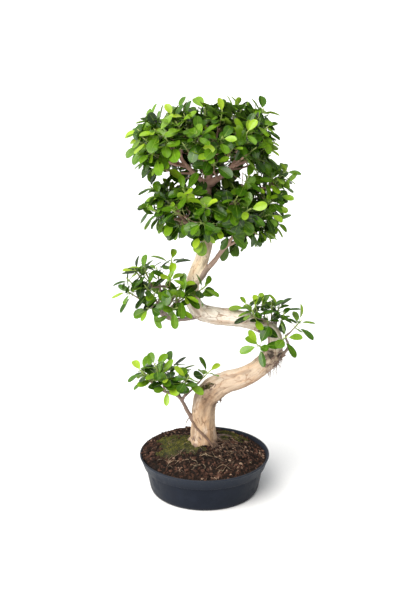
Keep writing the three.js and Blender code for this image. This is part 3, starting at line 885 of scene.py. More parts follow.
# The front edge of the moss is painted duller and browner: painted shade.
front_shade = stepped(tree, parts(tree, place)["Y"], -0.046, -0.01, 1, 0)
shade = plus(tree, tone, minus(tree, drift, times(tree, front_shade, 0.14)), clamp=True)
green = ramp(tree, shade, [
    (0, (0.012, 0.014, 0.003)), (0.4, (0.05, 0.054, 0.006)), (0.8, (0.15, 0.14, 0.012)),
    (1, (0.28, 0.24, 0.026)),
])
feed(tree, shader, Base_Color=tinted(tree, green, (front_shade, 0.4, (0.045, 0.034, 0.016))))
feed(tree, shader, Normal=relief(tree, place, 1200, 3600, 0.5, 0.8, 0.001))
moss = together([cushions, spikes(MOSS_SPIKES)])
piece("moss_cushions", moss, moss_finish, sharp=50.0)

# %% [markdown]
# ## The lines that the tree grows along
#
# Everything woody starts as a line with a thickness. The trunk, limbs and roots are drawn as
# stations (x, y, z, diameter) read from the photograph, and a smooth curve runs through them. The buds are
# given too, and a rule grows a side twig to each, so that a bud can be moved without redrawing it.

# %% Stations read from the photograph
TRUNK = [
    (-3, 10, 42, 40), (-3, 10, 76, 58), (-3, 8, 101, 56), (-4, 8, 137, 46), (-3, 6, 172, 46),
    (2, 4, 198, 49), (17, 2, 219, 51), (44, -2, 238, 45), (78, -8, 251, 41), (109, -13, 271, 39),
    (132, -15, 296, 38), (143, -13, 320, 31), (139, -8, 344, 29), (120, -2, 357, 30), (92, 3, 368, 31),
    (55, 6, 374, 33), (19, 8, 378, 34), (-10, 8, 388, 34), (-23, 6, 411, 29), (-25, 4, 437, 27),
    (-19, 2, 465, 28), (-9, 0, 490, 28), (0, 0, 517, 26), (6, 0, 541, 23), (8, 1, 573, 20), (5, 2, 607, 18),
    (5, 3, 637, 16), (9, 3, 666, 12), (8, 0, 699, 9),
]

# heading in degrees, reach, and the height at which the root ends
ROOTS = [(-35, 46, 62), (20, 50, 66), (100, 42, 62), (165, 44, 60), (235, 42, 58)]
ROOT_CREST = 110
ROOT_DIAMETERS = [20, 15, 10, 6]
AERIAL_ROOT = [
    (-27, -3, 160, 4.5), (-20, -12, 144, 4.5), (-6, -18, 130, 4.5), (7, -18, 116, 4.5), (17, -20, 100, 4.5),
    (22, -22, 82, 4.5),
]

# Each pad of foliage: its heart, which its shoots lean away from, its limbs as (bud at the tip, stations),
# and the buds on side twigs.
PADS = {
    "low": {
        "heart": (-62, 0, 215),
        "limbs": [
            ((-130, -10, 265), [(-14, 4, 140, 11), (-33, -5, 170, 8), (-52, -9, 207, 6.5),
                                (-80, -12, 220, 5.5)]),
            ((-34, -45, 263), [(-47, -8, 199, 5.5), (-40, -14, 216, 5)]),
        ],
        "buds": [(-68, -5, 278), (10, -5, 262), (-51, 35, 250), (-103, 30, 252)],
    },
    "elbow": {
        "heart": (-80, -2, 415),
        "limbs": [
            ((-157, -10, 436), [(-12, 6, 386, 14), (-34, 0, 374, 9), (-72, -6, 376, 7),
                                (-106, -8, 402, 5.5)]),
            ((-120, -20, 485), [(-25, 5, 418, 11), (-50, -2, 427, 7), (-76, -4, 442, 5.5)]),
            ((2, -20, 448), [(-24, 3, 422, 7), (-14, -10, 423, 4.5)]),
        ],
        "buds": [
            (-66, 10, 494), (-112, -40, 409), (-41, -55, 442), (-55, -50, 412), (-91, 40, 406),
            (-116, -36, 452),
        ],
    },
    "bend": {
        "heart": (135, -5, 330),
        "limbs": [
            ((192, -8, 370), [(137, -14, 298, 12), (156, -17, 303, 7), (169, -18, 321, 5.5)]),
            ((150, 10, 396), [(136, -4, 350, 10), (141, 4, 363, 5)]),
            ((105, -60, 338), [(137, -14, 304, 9), (129, -28, 311, 5)]),
            ((95, -32, 399), [(112, -2, 360, 9), (107, -10, 372, 5)]),
        ],
        "buds": [(162, -44, 350)],
    },
    "skirt": {
        "heart": (30, 0, 594),
        "limbs": [
            ((142, 15, 570), [(-17, 0, 456, 15), (-1, -7, 474, 11), (19, -11, 497, 10), (41, -14, 527, 8),
                              (76, -12, 545, 6)]),
            ((124, -45, 600), [(40, -14, 525, 7), (58, -26, 554, 6)]),
            ((-89, -15, 630), [(8, 0, 556, 14), (-16, -10, 564, 9), (-44, -14, 584, 6.5)]),
            ((-8, -80, 592), [(8, 0, 569, 10), (4, -24, 576, 6)]),
            ((155, -10, 676), [(7, 1, 586, 14), (36, -8, 600, 9), (74, -12, 620, 7), (104, -10, 642, 5.5)]),
            ((115, 60, 608), [(7, 2, 580, 12), (20, 28, 584, 8), (54, 46, 592, 6)]),
            ((-55, 40, 584), [(6, 3, 586, 10), (-14, 20, 582, 6)]),
            ((-40, -65, 650), [(5, 2, 619, 10), (-12, -24, 624, 6)]),
        ],
        "buds": [
            (82, -48, 672), (145, -20, 632), (84, -75, 616), (-95, -30, 602), (50, -40, 560), (21, 70, 618),
            (-50, 65, 624), (92, 12, 543),
        ],
    },
    "crown": {
        "heart": (10, 0, 695),
        "limbs": [
            ((0, -5, 797), [(8, 0, 694, 9), (5, -7, 734, 6)]),
            ((-88, -10, 770), [(6, 3, 646, 13), (-16, -6, 666, 9), (-46, -11, 702, 7)]),
            ((-122, -25, 736), [(-32, -9, 684, 7), (-64, -14, 698, 5.5)]),
            ((110, 0, 792), [(7, 3, 650, 14), (30, -7, 664, 10), (60, -13, 698, 7.5), (80, -12, 736, 5.5)]),
            ((117, -20, 725), [(52, -12, 686, 7), (76, -16, 696, 5.5)]),
            ((31, -90, 754), [(8, 2, 686, 9), (6, -26, 700, 7), (12, -52, 716, 5.5)]),
            ((14, 60, 772), [(8, 2, 678, 11), (14, 28, 694, 8), (16, 46, 716, 6)]),
            ((89, 55, 768), [(14, 26, 692, 7), (46, 42, 702, 6.5), (72, 48, 722, 5.5)]),
            ((-98, 60, 724), [(14, 26, 692, 7), (-14, 42, 696, 6.5), (-48, 50, 700, 5.5)]),
        ],
        "buds": [
            (-38, -40, 787), (70, -20, 799), (115, -45, 765), (-102, -20, 690), (-70, -70, 746),
            (-15, -85, 762), (78, -75, 762), (18, -80, 706), (-64, 50, 768), (67, 90, 720), (-25, 90, 720),
            (116, 50, 730),
        ],
    },
}

# Buds that only this dressed tree has, where the photograph shows more leaves: x, y and z, then for some
# the size of their leaves, and how much paler they are painted. The pale ones stand at the crown's upper
# left, where the lamp falls, and that paleness is painted light.
BUD_LOOK = (0.9, 0.0)      # that size and paleness for the others
MORE_BUDS = {
    "low": [(-100, -32, 286), (-76, -42, 262), (-124, 12, 252)],
    "elbow": [
        (-138, -12, 480), (-152, -20, 462), (-66, -52, 478), (-96, 24, 470), (-46, -44, 456),
        (-62, -40, 434), (-90, -36, 440), (-34, -44, 436),
    ],
    "bend": [
        (84, -6, 404), (116, 0, 406), (100, -20, 410, 0.8), (134, -6, 406, 0.85), (124, -28, 386, 0.8),
        (158, -12, 386, 0.85), (143, 14, 394, 0.85),
    ],
    "skirt": [
        (80, -34, 664), (-112, -12, 606), (-76, -44, 588), (-12, -62, 562), (30, -62, 576), (104, -34, 572),
        (-104, 10, 640), (60, -80, 640), (0, -84, 628), (126, 20, 640), (-60, -70, 612), (60, 50, 570),
        (-20, 60, 580), (134, 40, 590), (-88, 40, 600), (40, 56, 640),
    ],
    "crown": [
        (-104, -14, 778), (-124, -22, 756, 1.05, 0.2), (-108, 26, 764), (-62, -34, 786), (32, -34, 792),
        (98, -44, 782), (-112, -48, 744, 1.1, 0.25), (-92, -66, 764, 1.05, 0.25), (-52, -62, 776, 1.0),
        (-104, -60, 722, 1.05, 0.2), (120, 6, 758), (-40, -86, 742), (52, -86, 736), (-92, -52, 716),
        (92, -66, 730), (56, 30, 792), (-50, 20, 790), (10, -92, 726), (-112, 20, 706), (124, 20, 700),
        (-40, 92, 746), (46, 92, 744), (-24, 64, 676), (46, 62, 678),
    ],
}

# %% Smooth lines through stations
UP = np.array([0.0, 0.0, 1.0])


def smooth_path(stations, per_span=12):
    """A line through stations (x, y, z, diameter), and its radius. Each span is the cubic that leaves a
    station along half the step between that station's two neighbours."""
    stations = np.asarray(stations, float)
    places = stations[:, :3]
    around = joined([2 * places[0] - places[1]], places, [2 * places[-1] - places[-2]])
    before, here, there, after = (around[k:len(places) - 1 + k, None] for k in range(4))
    t = np.linspace(0, 1, per_span, endpoint=False)[:, None]
    leaving, arriving = (there - before) / 2, (after - here) / 2
    line = here * (2 * t ** 3 - 3 * t ** 2 + 1) + leaving * (t ** 3 - 2 * t ** 2 + t)
    line = line + there * (3 * t ** 2 - 2 * t ** 3) + arriving * (t ** 3 - t ** 2)
    line = joined(line.reshape(-1, 3), places[-1:])
    station = np.linspace(0, len(places) - 1, len(line))
    return line, np.interp(station, np.arange(len(places)), stations[:, 3] / 2)


def evenly(line, radius, step):
    """The same line and radius with points an even step apart."""
    reach = reach_along(line)
    wanted = np.linspace(0, reach[-1], max(4, round(reach[-1] / step)) + 1)
    spread = abreast(*(np.interp(wanted, reach, axis) for axis in line.T))
    return spread, np.interp(wanted, reach, radius)


def bezier(a, b, c, d, count):
    """The cubic (1-t)^3 a + 3t(1-t)^2 b + 3tt(1-t) c + t^3 d."""
    t = np.linspace(0, 1, count)[:, None]
    return (1 - t) ** 3 * a + 3 * t * (1 - t) ** 2 * b + 3 * t ** 2 * (1 - t) * c + t ** 3 * d


# %% Shoots, limbs and twigs
SHOOT_LENGTH, SHOOT_LIFT = 30.0, 0.4
TWIG_REACH, TWIG_LEAD, TWIG_START, TWIG_END = 42.0, 14.0, 2.1, 1.8
TIP_LEAVES, SIDE_LEAVES = 7, 6


def shoot_to(bud, heart):
    """The green shoot that ends in a bud: it leans away from its pad's heart and a little upward. Returns
    its seat on the wood and its heading."""
    bud, heart = np.array(bud, float), np.array(heart, float)
    heading = unit(unit(bud - heart) + SHOOT_LIFT * UP)
    return bud - SHOOT_LENGTH * heading, heading


def limb_line(path, seat, heading):
    """A limb through its stations that comes to its seat along the shoot's heading."""
    lead = seat - heading * TWIG_LEAD
    return smooth_path([*path, (*lead, 2 * TWIG_START), (*seat, 2 * TWIG_END)])


def twig_line(seat, heading, limb_paths):
    """A side twig from the nearest limb point that leads to its seat, sagging a little on its way."""
    lead = seat - heading * TWIG_REACH
    roots = np.concatenate([evenly_by_station(path, 10)[2:] for path in limb_paths])
    root = roots[norm(roots - lead).argmin()]
    span = np.linalg.norm(root - seat)
    bow = root + 0.35 * (seat - root) - 0.06 * span * UP
    return bezier(root, bow, seat - 0.4 * span * heading, seat, 40), np.linspace(TWIG_START, TWIG_END, 40)


def evenly_by_station(path, count):
    """The smooth line through a path, at count equal steps from station to station."""
    line, _ = smooth_path(path, per_span=10)
    return line[np.linspace(0, len(line) - 1, count + 1).round().astype(int)]


def new_shoot(pad, number, seat, heading, turn, count=SIDE_LEAVES, length=SHOOT_LENGTH, scale=1.0):
    """A shoot that bears no leaves yet. turn is where round it the first will stand, from 0 to 1."""
    return {"pad": pad, "number": number, "seat": seat, "heading": heading, "turn": 360 * turn,
            "count": count, "length": length, "scale": scale, "leaves": []}


sprays, limb_lines, twig_lines, limbs_of = [], [], [], {}
for pad, plan in PADS.items():
    tips = [shoot_to(bud, plan["heart"]) for bud, _ in plan["limbs"]]
    sides = [shoot_to(bud, plan["heart"]) for bud in plan["buds"]]
    paths = [path for _, path in plan["limbs"]]
    limbs_of[pad] = [limb_line(path, *tip) for path, tip in zip(paths, tips)]
    limb_lines += limbs_of[pad]
    twig_lines += [twig_line(*side, paths) for side in sides]
    for i, place in enumerate(tips + sides):
        count = TIP_LEAVES if i < len(tips) else SIDE_LEAVES
        spray = new_shoot(pad, len(sprays), *place, vary(len(sprays), 1), count)
        spray["name"] = f"{pad}_spray_{i + 1:02d}"
        sprays.append(spray)

added = []
for pad, buds in MORE_BUDS.items():
    paths = [path for _, path in PADS[pad]["limbs"]]
    for x, y, z, *more in buds:
        seat, heading = shoot_to((x, y, z), PADS[pad]["heart"])
        twig_lines.append(twig_line(seat, heading, paths))
        number = 100 + len(added)
        scale, pale = (*more, *BUD_LOOK[len(more):])
        added.append(new_shoot(pad, number, seat, heading, vary(number, 1), scale=scale))
        added[-1]["pale"] = pale
print(len(limb_lines), "limbs,", len(twig_lines), "side twigs,", len(sprays), "sprays")

trunk_line = smooth_path(TRUNK, per_span=15)
root_lines = []
for heading, reach, end in ROOTS:
    away = np.array([math.cos(math.radians(heading)), math.sin(math.radians(heading))]) * reach
    heights = [ROOT_CREST, ROOT_CREST - 13, (ROOT_CREST + end) / 2 - 4, end]
    shares = [8 / reach, 0.62, 1.0, 1.1]
    foot = np.array(TRUNK[2][:2])
    rows = zip(shares, heights, ROOT_DIAMETERS)
    stations = [(*(foot + share * away), height, wide) for share, height, wide in rows]
    root_lines.append(smooth_path(stations))
aerial_line = smooth_path(AERIAL_ROOT)

# %% [markdown]
# ## Trunk and roots as one skin
#
# Old wood has no joints: a limb leaves the trunk through a swollen collar, and roots melt into the flare at
# its foot. Tubes pushed through each other would show hard seams there. So a voxel remesh turns the tubes
# of the trunk, roots and collars into one skin, a little smoothing melts the seams, and the skin is then
# pushed in and out along its normals.
#
# Bark's ridges run along the wood and its wrinkles run round it. So the noise that makes them is looked up
# in the place that a point would have if its limb were laid straight.

# %% Which line a point of the skin belongs to
LINE_SPACING = 400.0      # added from line to line when they are laid straight, so that no two look alike


class Wood:
    """Lines with thickness, laid end to end as arrays so that points can be measured against them all."""

    def __init__(self, lines):
        self.centres = np.concatenate([line for line, _ in lines])
        self.radius = np.concatenate([radius for _, radius in lines])
        self.starts = np.cumsum([0] + [len(radius) for _, radius in lines])[:-1]
        self.index = np.repeat(np.arange(len(lines)), [len(radius) for _, radius in lines])
        self.axes = np.concatenate([np.stack(frames_along(line), axis=1) for line, _ in lines])
        self.reach = np.concatenate([reach_along(line) for line, _ in lines])

    def distances(self, points):
        """From each point to the surface round each centre: the distance to the centre, less its radius."""
        square = (points ** 2).sum(axis=1)[:, None] + (self.centres ** 2).sum(axis=1)
        return np.sqrt(np.maximum(square - 2 * points @ self.centres.T, 0)) - self.radius

    def clearance(self, points):
        """Each point's distance from the nearest surface, less than 0 inside, and that centre's number."""
        far = self.distances(points)
        nearest = far.argmin(axis=1)
        return far[np.arange(len(points)), nearest], nearest

    def room(self, points, place, reach):
        """The least distance from any of the points to a surface, looking only near the given place."""
        near = np.abs(self.centres - place).max(axis=1) < reach
        if not near.any():
            return reach
        far = norm(points[:, None] - self.centres[near]) - self.radius[near]
        return far.min()

    def straightened(self, points, rows=6000):
        """Each point's place round and along its own line laid straight, the line's radius there, and how
        much nearer that line is than the next one."""
        places, girths, margins = [], [], []
        for start in range(0, len(points), rows):
            part = points[start:start + rows]
            far = self.distances(part)
            nearest = far.argmin(axis=1)
            per_line = np.minimum.reduceat(far, self.starts, axis=1)
            best = per_line[np.arange(len(part)), self.index[nearest]]
            per_line[np.arange(len(part)), self.index[nearest]] = np.inf
            local = np.einsum("nij,nj->ni", self.axes[nearest], part - self.centres[nearest])
            own = self.reach[nearest] + local[:, 0] + LINE_SPACING * self.index[nearest]
            places.append(abreast(local[:, 1], local[:, 2], own))
            girths.append(self.radius[nearest])
            margins.append(per_line.min(axis=1) - best)
        return np.concatenate(places), np.concatenate(girths), np.concatenate(margins)


# %% Tubes of the trunk, roots and collars
TRUNK_SIDES, ROOT_SIDES, COLLAR_SIDES = 72, 24, 24
COLLAR_SWELL = 0.55


def trunk_tube(line, radius):
    """The trunk: its radius times 1 + (1-t)(0.05 cos(3a + 9t) + 0.03 cos(5a - 4t)), so that it is lobed at
    its foot and round at its tip."""
    t = np.linspace(0, 1, len(line))[:, None]
    angle = angles(TRUNK_SIDES)
    flute = 1 + (1 - t) * (0.05 * np.cos(3 * angle + 9 * t) + 0.03 * np.cos(5 * angle - 4 * t))
    return tube(line, radius[:, None] * flute, TRUNK_SIDES)


def collar(line, radius, trunk):
    """The swollen start of a limb: its radius times 1 + 0.55 exp(-c / 0.9r), where c is the clearance from
    the trunk. Further out it sinks under the limb's own skin and ends there."""
    line, radius = evenly(line, radius, 1.5)
    clear, _ = trunk.clearance(line)
    clear = np.maximum(clear, 0)
    past = np.clip((clear / radius - 1.0) / 1.4, 0, 1)
    swollen = radius * (1 + COLLAR_SWELL * np.exp(-clear / (0.9 * radius)) - 0.45 * eased(past))
    last = max(6, int(np.argmax(clear > 2.4 * radius)))
    return tube(line[:last], swollen[:last], COLLAR_SIDES)


trunk_only = Wood([trunk_line])
from_trunk = [line for line in limb_lines if trunk_only.clearance(line[0][:1])[0][0] < 0]
tubes = [trunk_tube(*trunk_line)]
tubes += [tube(line, radius * 1.08, ROOT_SIDES) for line, radius in root_lines]
tubes += [collar(*line, trunk_only) for line in from_trunk]
print(len(from_trunk), "limbs leave the trunk")

# %% One skin
SKIN_VOXEL = 1.4 * MM
raw_skin = plain_object("raw_skin", together(tubes))
melt = raw_skin.modifiers.new("melt", "REMESH")
melt.mode = "VOXEL"
melt.voxel_size = SKIN_VOXEL
soften = raw_skin.modifiers.new("soften", "SMOOTH")
soften.factor = 0.5
soften.iterations = 6
skin = worked(raw_skin)
bpy.data.objects.remove(raw_skin)
print("skin:", len(skin.points), "points")


def normals_of(shape):
    """A direction outwards at each point: the sum of the normals of the faces round it, made one long."""
    total = np.zeros_like(shape.points)
    for face in shape.faces:
        corners = shape.points[face]
        across = np.cross(corners[:, 2] - corners[:, 0], corners[:, -1] - corners[:, 1])
        for corner in face.T:
            np.add.at(total, corner, across)
    return unit(total)


# %% Ridges, lumps and scars
SCARS = [
    # a pruned limb's healed scar: x, y, z and radius
    (-22, -10, 176, 6.5), (70, -28, 256, 5.5), (128, -33, 303, 6.0), (84, -12, 371, 4.5),
    (-2, -8, 384, 5.5), (-34, -6, 446, 4.5), (4, -13, 506, 4.0), (14, -8, 560, 3.5), (12, 24, 231, 6.0),
    (30, 24, 380, 5.0), (-14, 30, 128, 6.0),
]

HOLLOWS = [
    # a pocket in the wood: x, y, z, radius and depth
    (133, -36, 308, 8.0, 6.5), (152, -30, 305, 5.0, 4.0), (28, -4, 196, 7.0, 2.0),
]


def spot(points, x, y, z, radius):
    """A soft spot, 1 at its middle, that fades with the distance d from it as exp(-(d / radius)^2)."""
    return np.exp(-(norm(points - (x, y, z)) / radius) ** 2)


def bark_push(points, straight, girth, margin):
    """How far the skin is pushed outwards: ridges that wander along the wood, lumps, and a ring with a
    hollow in it at each scar. It all grows with the girth, and the ridges die out where two lines meet."""
    size = np.clip(girth / 22, 0.12, 1.15)
    single = eased(np.clip(margin / 7, 0, 1))
    broad = cloud(straight * (1, 1, 0.13), 10.5, 21)
    narrow = cloud(straight * (1, 1, 0.17), 4.6, 22)
    sinew = 2.1 * broad + 1.3 * (0.5 - np.abs(narrow))
    rings = cloud(straight * (0.22, 0.22, 1), 5.2, 25)
    lumps = cloud(points, 17.0, 23) + 0.4 * cloud(points, 8.0, 24)
    push = size * (single * (sinew + 0.4 * rings) + 0.9 * lumps)
    relief_at = single * sinew + 0.3 * rings * single
    for x, y, z, radius in SCARS:
        far = norm(points - (x, y, z))
        ring = np.exp(-((far - radius) / (0.36 * radius)) ** 2)
        ring = ring - 1.1 * spot(points, x, y, z, 0.62 * radius)
        push = push + 0.16 * radius * ring
        relief_at = relief_at + 1.2 * ring
    for *place, depth in HOLLOWS:
        push = push - depth * spot(points, *place)
    return push, relief_at


old_wood = Wood([trunk_line, *root_lines, *(evenly(*line, 4.0) for line in from_trunk)])
straight, girth, margin = old_wood.straightened(skin.points)
push, relief_at = bark_push(skin.points, straight, girth, margin)
skin.points = skin.points + push[:, None] * normals_of(skin)
outward = normals_of(skin)

STAINS_AND_SHADE = [
    # dark places on the bark, some real stains and some painted shade in the hollows, in a hole and on the
    # right side away from the lamp: x, y, z, radius and strength
    (3, -18, 235, 8, 0.5), (-3, -22, 212, 23, 0.6), (-15, -20, 394, 11, 0.35), (-9, -22, 380, 9, 0.3),
    (66, -25, 375, 9, 0.45), (56, -25, 381, 7, 0.35), (92, -26, 357, 5, 1.2), (82, -26, 366, 8, 0.5),
    (14, -22, 222, 12, 0.25), (6, -24, 202, 11, 0.2), (133, -32, 308, 8, 2.4), (152, -26, 305, 6, 2.0),
    (24, -8, 186, 9, 0.5), (22, -12, 166, 9, 0.4), (20, -14, 144, 9, 0.4), (21, -12, 124, 10, 0.5),
    (-22, 0, 368, 9, 0.7), (-30, -4, 436, 7, 0.4), (144, -24, 296, 14, 0.5), (30, -6, 196, 12, 0.7),
    (28, 0, 212, 10, 0.5), (24, -4, 102, 12, 0.7), (14, -16, 98, 9, 0.6), (10, -18, 108, 6, 0.35),
    (-18, 2, 388, 12, 0.2), (-26, 0, 362, 9, 0.6), (16, -22, 130, 9, 0.4), (20, -18, 117, 10, 0.6),
    (112, -14, 352, 9, 0.7), (120, -14, 344, 10, 0.6), (6, -10, 560, 8, 0.6),
]
UNDERSIDE_SHADE, UNDERSIDE_FROM = 0.75, 0.12      # its strength, and how far down a face has to look

# Faces of the wood that look down are painted darker: painted shade under the wood.
stain = UNDERSIDE_SHADE * np.clip(-outward[:, 2] - UNDERSIDE_FROM, 0, 1)
uneven = 1 + 0.5 * cloud(skin.points, 4.0, 61)
for *place, strength in STAINS_AND_SHADE:
    stain = stain + strength * spot(skin.points, *place) * uneven
skin.values = {"bark_at": straight * MM, "bark_girth": girth, "bark_relief": relief_at,
               "bark_stain": np.clip(stain, 0, 1)}

# %% [markdown]
# ## The bark's finish
#
# The bark is buff low down, nearly white in the middle, where the sun has bleached it, and brown in the
# crown. One ramp over the height gives that. A picture of bark wrapped round the wood would stretch at the
# bends, so the rest is layered on by noise: broad patches, then fibres and a net of fine cracks, and the
# darkest creases, scars and stains last, with painted shade in the low places of the relief, in the
# hollows, under the wood and on its side away from the lamp. Young limbs keep their own reddish skin.

# %% Colour of the bark
BARK_TOP = 0.72      # the height in metres where the ramp ends

bark, tree, shader, place = material("smooth_bark", roughness=0.72)
sideways, _, height = parts(tree, place)
laid = carried(tree, "bark_at", "Vector")
thickness = carried(tree, "bark_girth")
hollow = carried(tree, "bark_relief")

by_height = ramp(tree, maths("DIVIDE", tree, height, BARK_TOP), [
    (0.12, (0.54, 0.365, 0.225)), (0.24, (0.54, 0.38, 0.245)), (0.36, (0.51, 0.4, 0.3)),
    (0.42, (0.56, 0.46, 0.34)), (0.52, (0.86, 0.8, 0.71)), (0.68, (0.84, 0.71, 0.5)),
    (0.95, (0.38, 0.285, 0.195)),
])
lengthwise = stretched(tree, laid, 1, 1, 0.22)
crosswise = stretched(tree, laid, 0.3, 0.3, 1)
drawn_out = stretched(tree, laid, 1, 1, 0.12)
weathered = patch(tree, place, 60, 0.44, 0.7)
rusty = patch(tree, lengthwise, 55, 0.48, 0.66)
fibres = stepped(tree, noise(tree, drawn_out, 330, detail=5.0, roughness=0.65), 0.42, 0.66)
bleached = patch(tree, lengthwise, 80, 0.52, 0.68)
netted = stretched(tree, laid, 1, 1, 0.4)
bent = node(tree, "TexNoise", Vector=netted, Scale=140.0, Detail=2.0).outputs["Color"]
bent = blended(tree, 0.008, netted, bent)
cells = node(tree, "TexVoronoi", {"feature": "DISTANCE_TO_EDGE"}, Vector=bent, Scale=66.0)
split = stepped(tree, cells.outputs["Distance"], 0.0, 0.06, 1, 0)
split_here = times(tree, split, patch(tree, place, 42, 0.42, 0.6))
thin = stepped(tree, thickness, 5.0, 15.0, 1, 0)
limb_tint = blended(tree, stepped(tree, height, 0.45, 0.6), (0.19, 0.13, 0.112), (0.5, 0.29, 0.225))
colour = tinted(
    tree, by_height, (rusty, 0.5, (0.49, 0.27, 0.125)), (bleached, 0.6, (0.8, 0.68, 0.56)),
    (weathered, 0.32, (0.33, 0.225, 0.15)), (fibres, 0.34, (0.36, 0.235, 0.145)),
    (split_here, 0.8, (0.23, 0.115, 0.05)), (thin, 0.85, limb_tint),
)

# %% Creases, leaf scars, stains and painted shade of the bark
wrinkle = noise(tree, crosswise, 420, detail=3.0)
crease = stepped(tree, maths("ABSOLUTE", tree, minus(tree, wrinkle, 0.5)), 0.0, 0.035, 1, 0)
crease_here = times(tree, crease, patch(tree, place, 85, 0.4, 0.6))
dots = node(tree, "TexVoronoi", Vector=crosswise, Scale=230.0).outputs["Distance"]
dot = stepped(tree, dots, 0.1, 0.24, 1, 0)
dot_here = times(tree, dot, patch(tree, place, 120, 0.5, 0.62))
# The low places of the bark's relief are painted darker: painted shade in the furrows and the scars'
# hollows.
furrow_shade = stepped(tree, hollow, -1.3, 0.2, 1, 0)
colour = tinted(
    tree, colour, (furrow_shade, 0.55, (0.17, 0.112, 0.072)), (crease_here, 0.22, (0.15, 0.098, 0.065)),
    (dot_here, 0.6, (0.11, 0.068, 0.045)),
)
# Soil has splashed on the foot. On its right side, away from the lamp, it is painted much stronger: there
# it is partly painted shade.
splash_and_shade = times(tree, stepped(tree, height, 0.094, 0.118, 1, 0), patch(tree, place, 95, 0.3, 0.62))
splash_and_shade = times(tree, splash_and_shade, stepped(tree, sideways, -0.012, 0.01, 0.1, 0.8))
colour = blended(tree, splash_and_shade, colour, (0.09, 0.056, 0.036))
# The bark's stains and its painted shade are carried together: real dark stains, and painted shade under
# the wood, in the hollows and on the side away from the lamp.
stain_and_shade_at = carried(tree, "bark_stain")
speckle = stepped(tree, noise(tree, place, 300, detail=5.0), 0.3, 0.62)
dirt_and_shade = times(tree, stain_and_shade_at, plus(tree, times(tree, speckle, 0.45), 0.55))
colour = tinted(tree, colour, (dirt_and_shade, 0.85, (0.13, 0.07, 0.036)))
# Where stains and shade run highest, in the knuckle's hollows and a hole, the bark is painted near black:
# painted shade.
colour = blended(tree, stepped(tree, stain_and_shade_at, 0.86, 1.0, 0.0, 0.8), colour, (0.014, 0.008, 0.006))
feed(tree, shader, Base_Color=colour)
cut_in = plus(tree, plus(tree, crease_here, split_here), times(tree, dot_here, 0.7))
cut_in = times(tree, cut_in, -0.6)
feed(tree, shader, Normal=relief(tree, lengthwise, 700, 3000, 0.35, 0.55, 0.0007, cut_in))
piece("trunk_wood", skin, bark, sharp=80.0, replaces=["tree"])

# %% [markdown]
# ## Moss on the lower bend
#
# Rain stays longest on top of the lowest bend, so a tuft of moss has taken hold there. It is made of the
# same thin spikes as the moss on the ground, but they stand on the trunk's skin and lean out and up.

# %% Spikes on the bark
BARK_MOSS = [(2, -20, 236, 8), (-7, -14, 229, 7), (12, -22, 241, 6)]      # x, y, z and radius
BARK_MOSS_SPIKES = 1500


def bark_moss():
    """Spikes at points of the skin, chosen by chance where the sum of the moss's soft spots is high."""
    nearness = sum(spot(skin.points, *place) for place in BARK_MOSS)
    near = np.flatnonzero(nearness > 0.33 + 0.25 * cloud(skin.points, 5.0, 81))
    chosen = chance.choice(near, BARK_MOSS_SPIKES)
    out = outward[chosen]
    base = skin.points[chosen] + chance.normal(size=(len(chosen), 3)) * 0.5 - 0.3 * out
    east = unit(np.cross(out, (0.3, 1.0, 0.2)))
    feet = spike_feet(east, np.cross(out, east))
    lean = unit(out + 0.5 * UP + 0.45 * chance.normal(size=(len(chosen), 3)))
    tip = lean * chance.uniform(1.2, 2.6, (len(chosen), 1))
    return pyramids(base, feet, tip, chance.uniform(0.1, 0.85, len(chosen)))


piece("trunk_moss", bark_moss(), moss_finish, sharp=50.0)

# %% [markdown]
# ## Limbs and twigs
#
# Young wood is a tapered tube with a raised ring where each old leaf stood, swollen where it leaves its
# parent. Both could be pieces of their own, but added to the radius along the line they cost no faces. The
# aerial root, a root on the ground and one that hangs free are made the same way.

# %% Limbs and twigs as tubes
LIMB_SIDES, TWIG_SIDES = 14, 8
LIMB_STEP, TWIG_STEP = 1.3, 1.6
SCAR_SPACING = 9.0
ROOT_NUMBERS, TWIG_NUMBERS, BARE_NUMBERS = 50, 60, 150      # where each kind's numbers for chance start


def ringed_tube(line, radius, sides, step, parents, number, swell):
    """A young limb: swollen where it leaves its parent, with a raised ring about every nine millimetres
    where a leaf once stood, and a slightly uneven skin."""
    line, radius = evenly(line, radius, step)
    clear, nearest = parents.clearance(line)
    inside = np.maximum(clear, 0)
    grown = radius * (1 + swell * np.exp(-inside / (0.9 * radius)))
    grown = np.where(clear < 0, np.minimum(grown, 0.9 * parents.radius[nearest]), grown)
    reach = np.linspace(0, 1, len(line)) * step * (len(line) - 1)
    spacing = SCAR_SPACING * (0.8 + 0.5 * vary(number, 31))
    off = (reach + spacing * vary(number, 32)) % spacing - spacing / 2
    grown = grown + (0.1 * radius + 0.12) * np.exp(-(off / 0.9) ** 2)
    made = tube(line, grown, sides)
    straight = made.values.pop("straight") + (0, 0, 37.0 * number)
    uneven = 0.1 * cloud(straight * (1, 1, 0.3), 2.4, 41)
    radius_at = joined(np.repeat(radius, sides), radius[[0, -1]])
    outward = joined(made.points[:-2] - np.repeat(line, sides, axis=0), np.zeros((2, 3)))
    made.points = made.points + uneven[:, None] * outward
    none = 0 * radius_at
    made.values.update(bark_at=straight * MM, bark_girth=radius_at, bark_relief=none, bark_stain=none)
    return made


limb_tubes = []
for number, line in enumerate(limb_lines):
    others = Wood([trunk_line, *limb_lines[:number]])
    swell = 0.0 if any(line is one for one in from_trunk) else 0.4
    limb_tubes.append(ringed_tube(*line, LIMB_SIDES, LIMB_STEP, others, number, swell))

SURFACE_ROOT = [(10, 14, 104, 12), (26, 34, 100, 8), (44, 50, 94, 6), (60, 58, 86, 5), (70, 62, 74, 4)]
HANGING_ROOT = [(-24, -2, 166, 2.2), (-31, -5, 160, 1.8), (-37, -7, 152, 1.4), (-39, -8, 143, 0.8)]
AIR_ROOT_STAIN = 0.88      # roots in the air are darker than the one on the ground

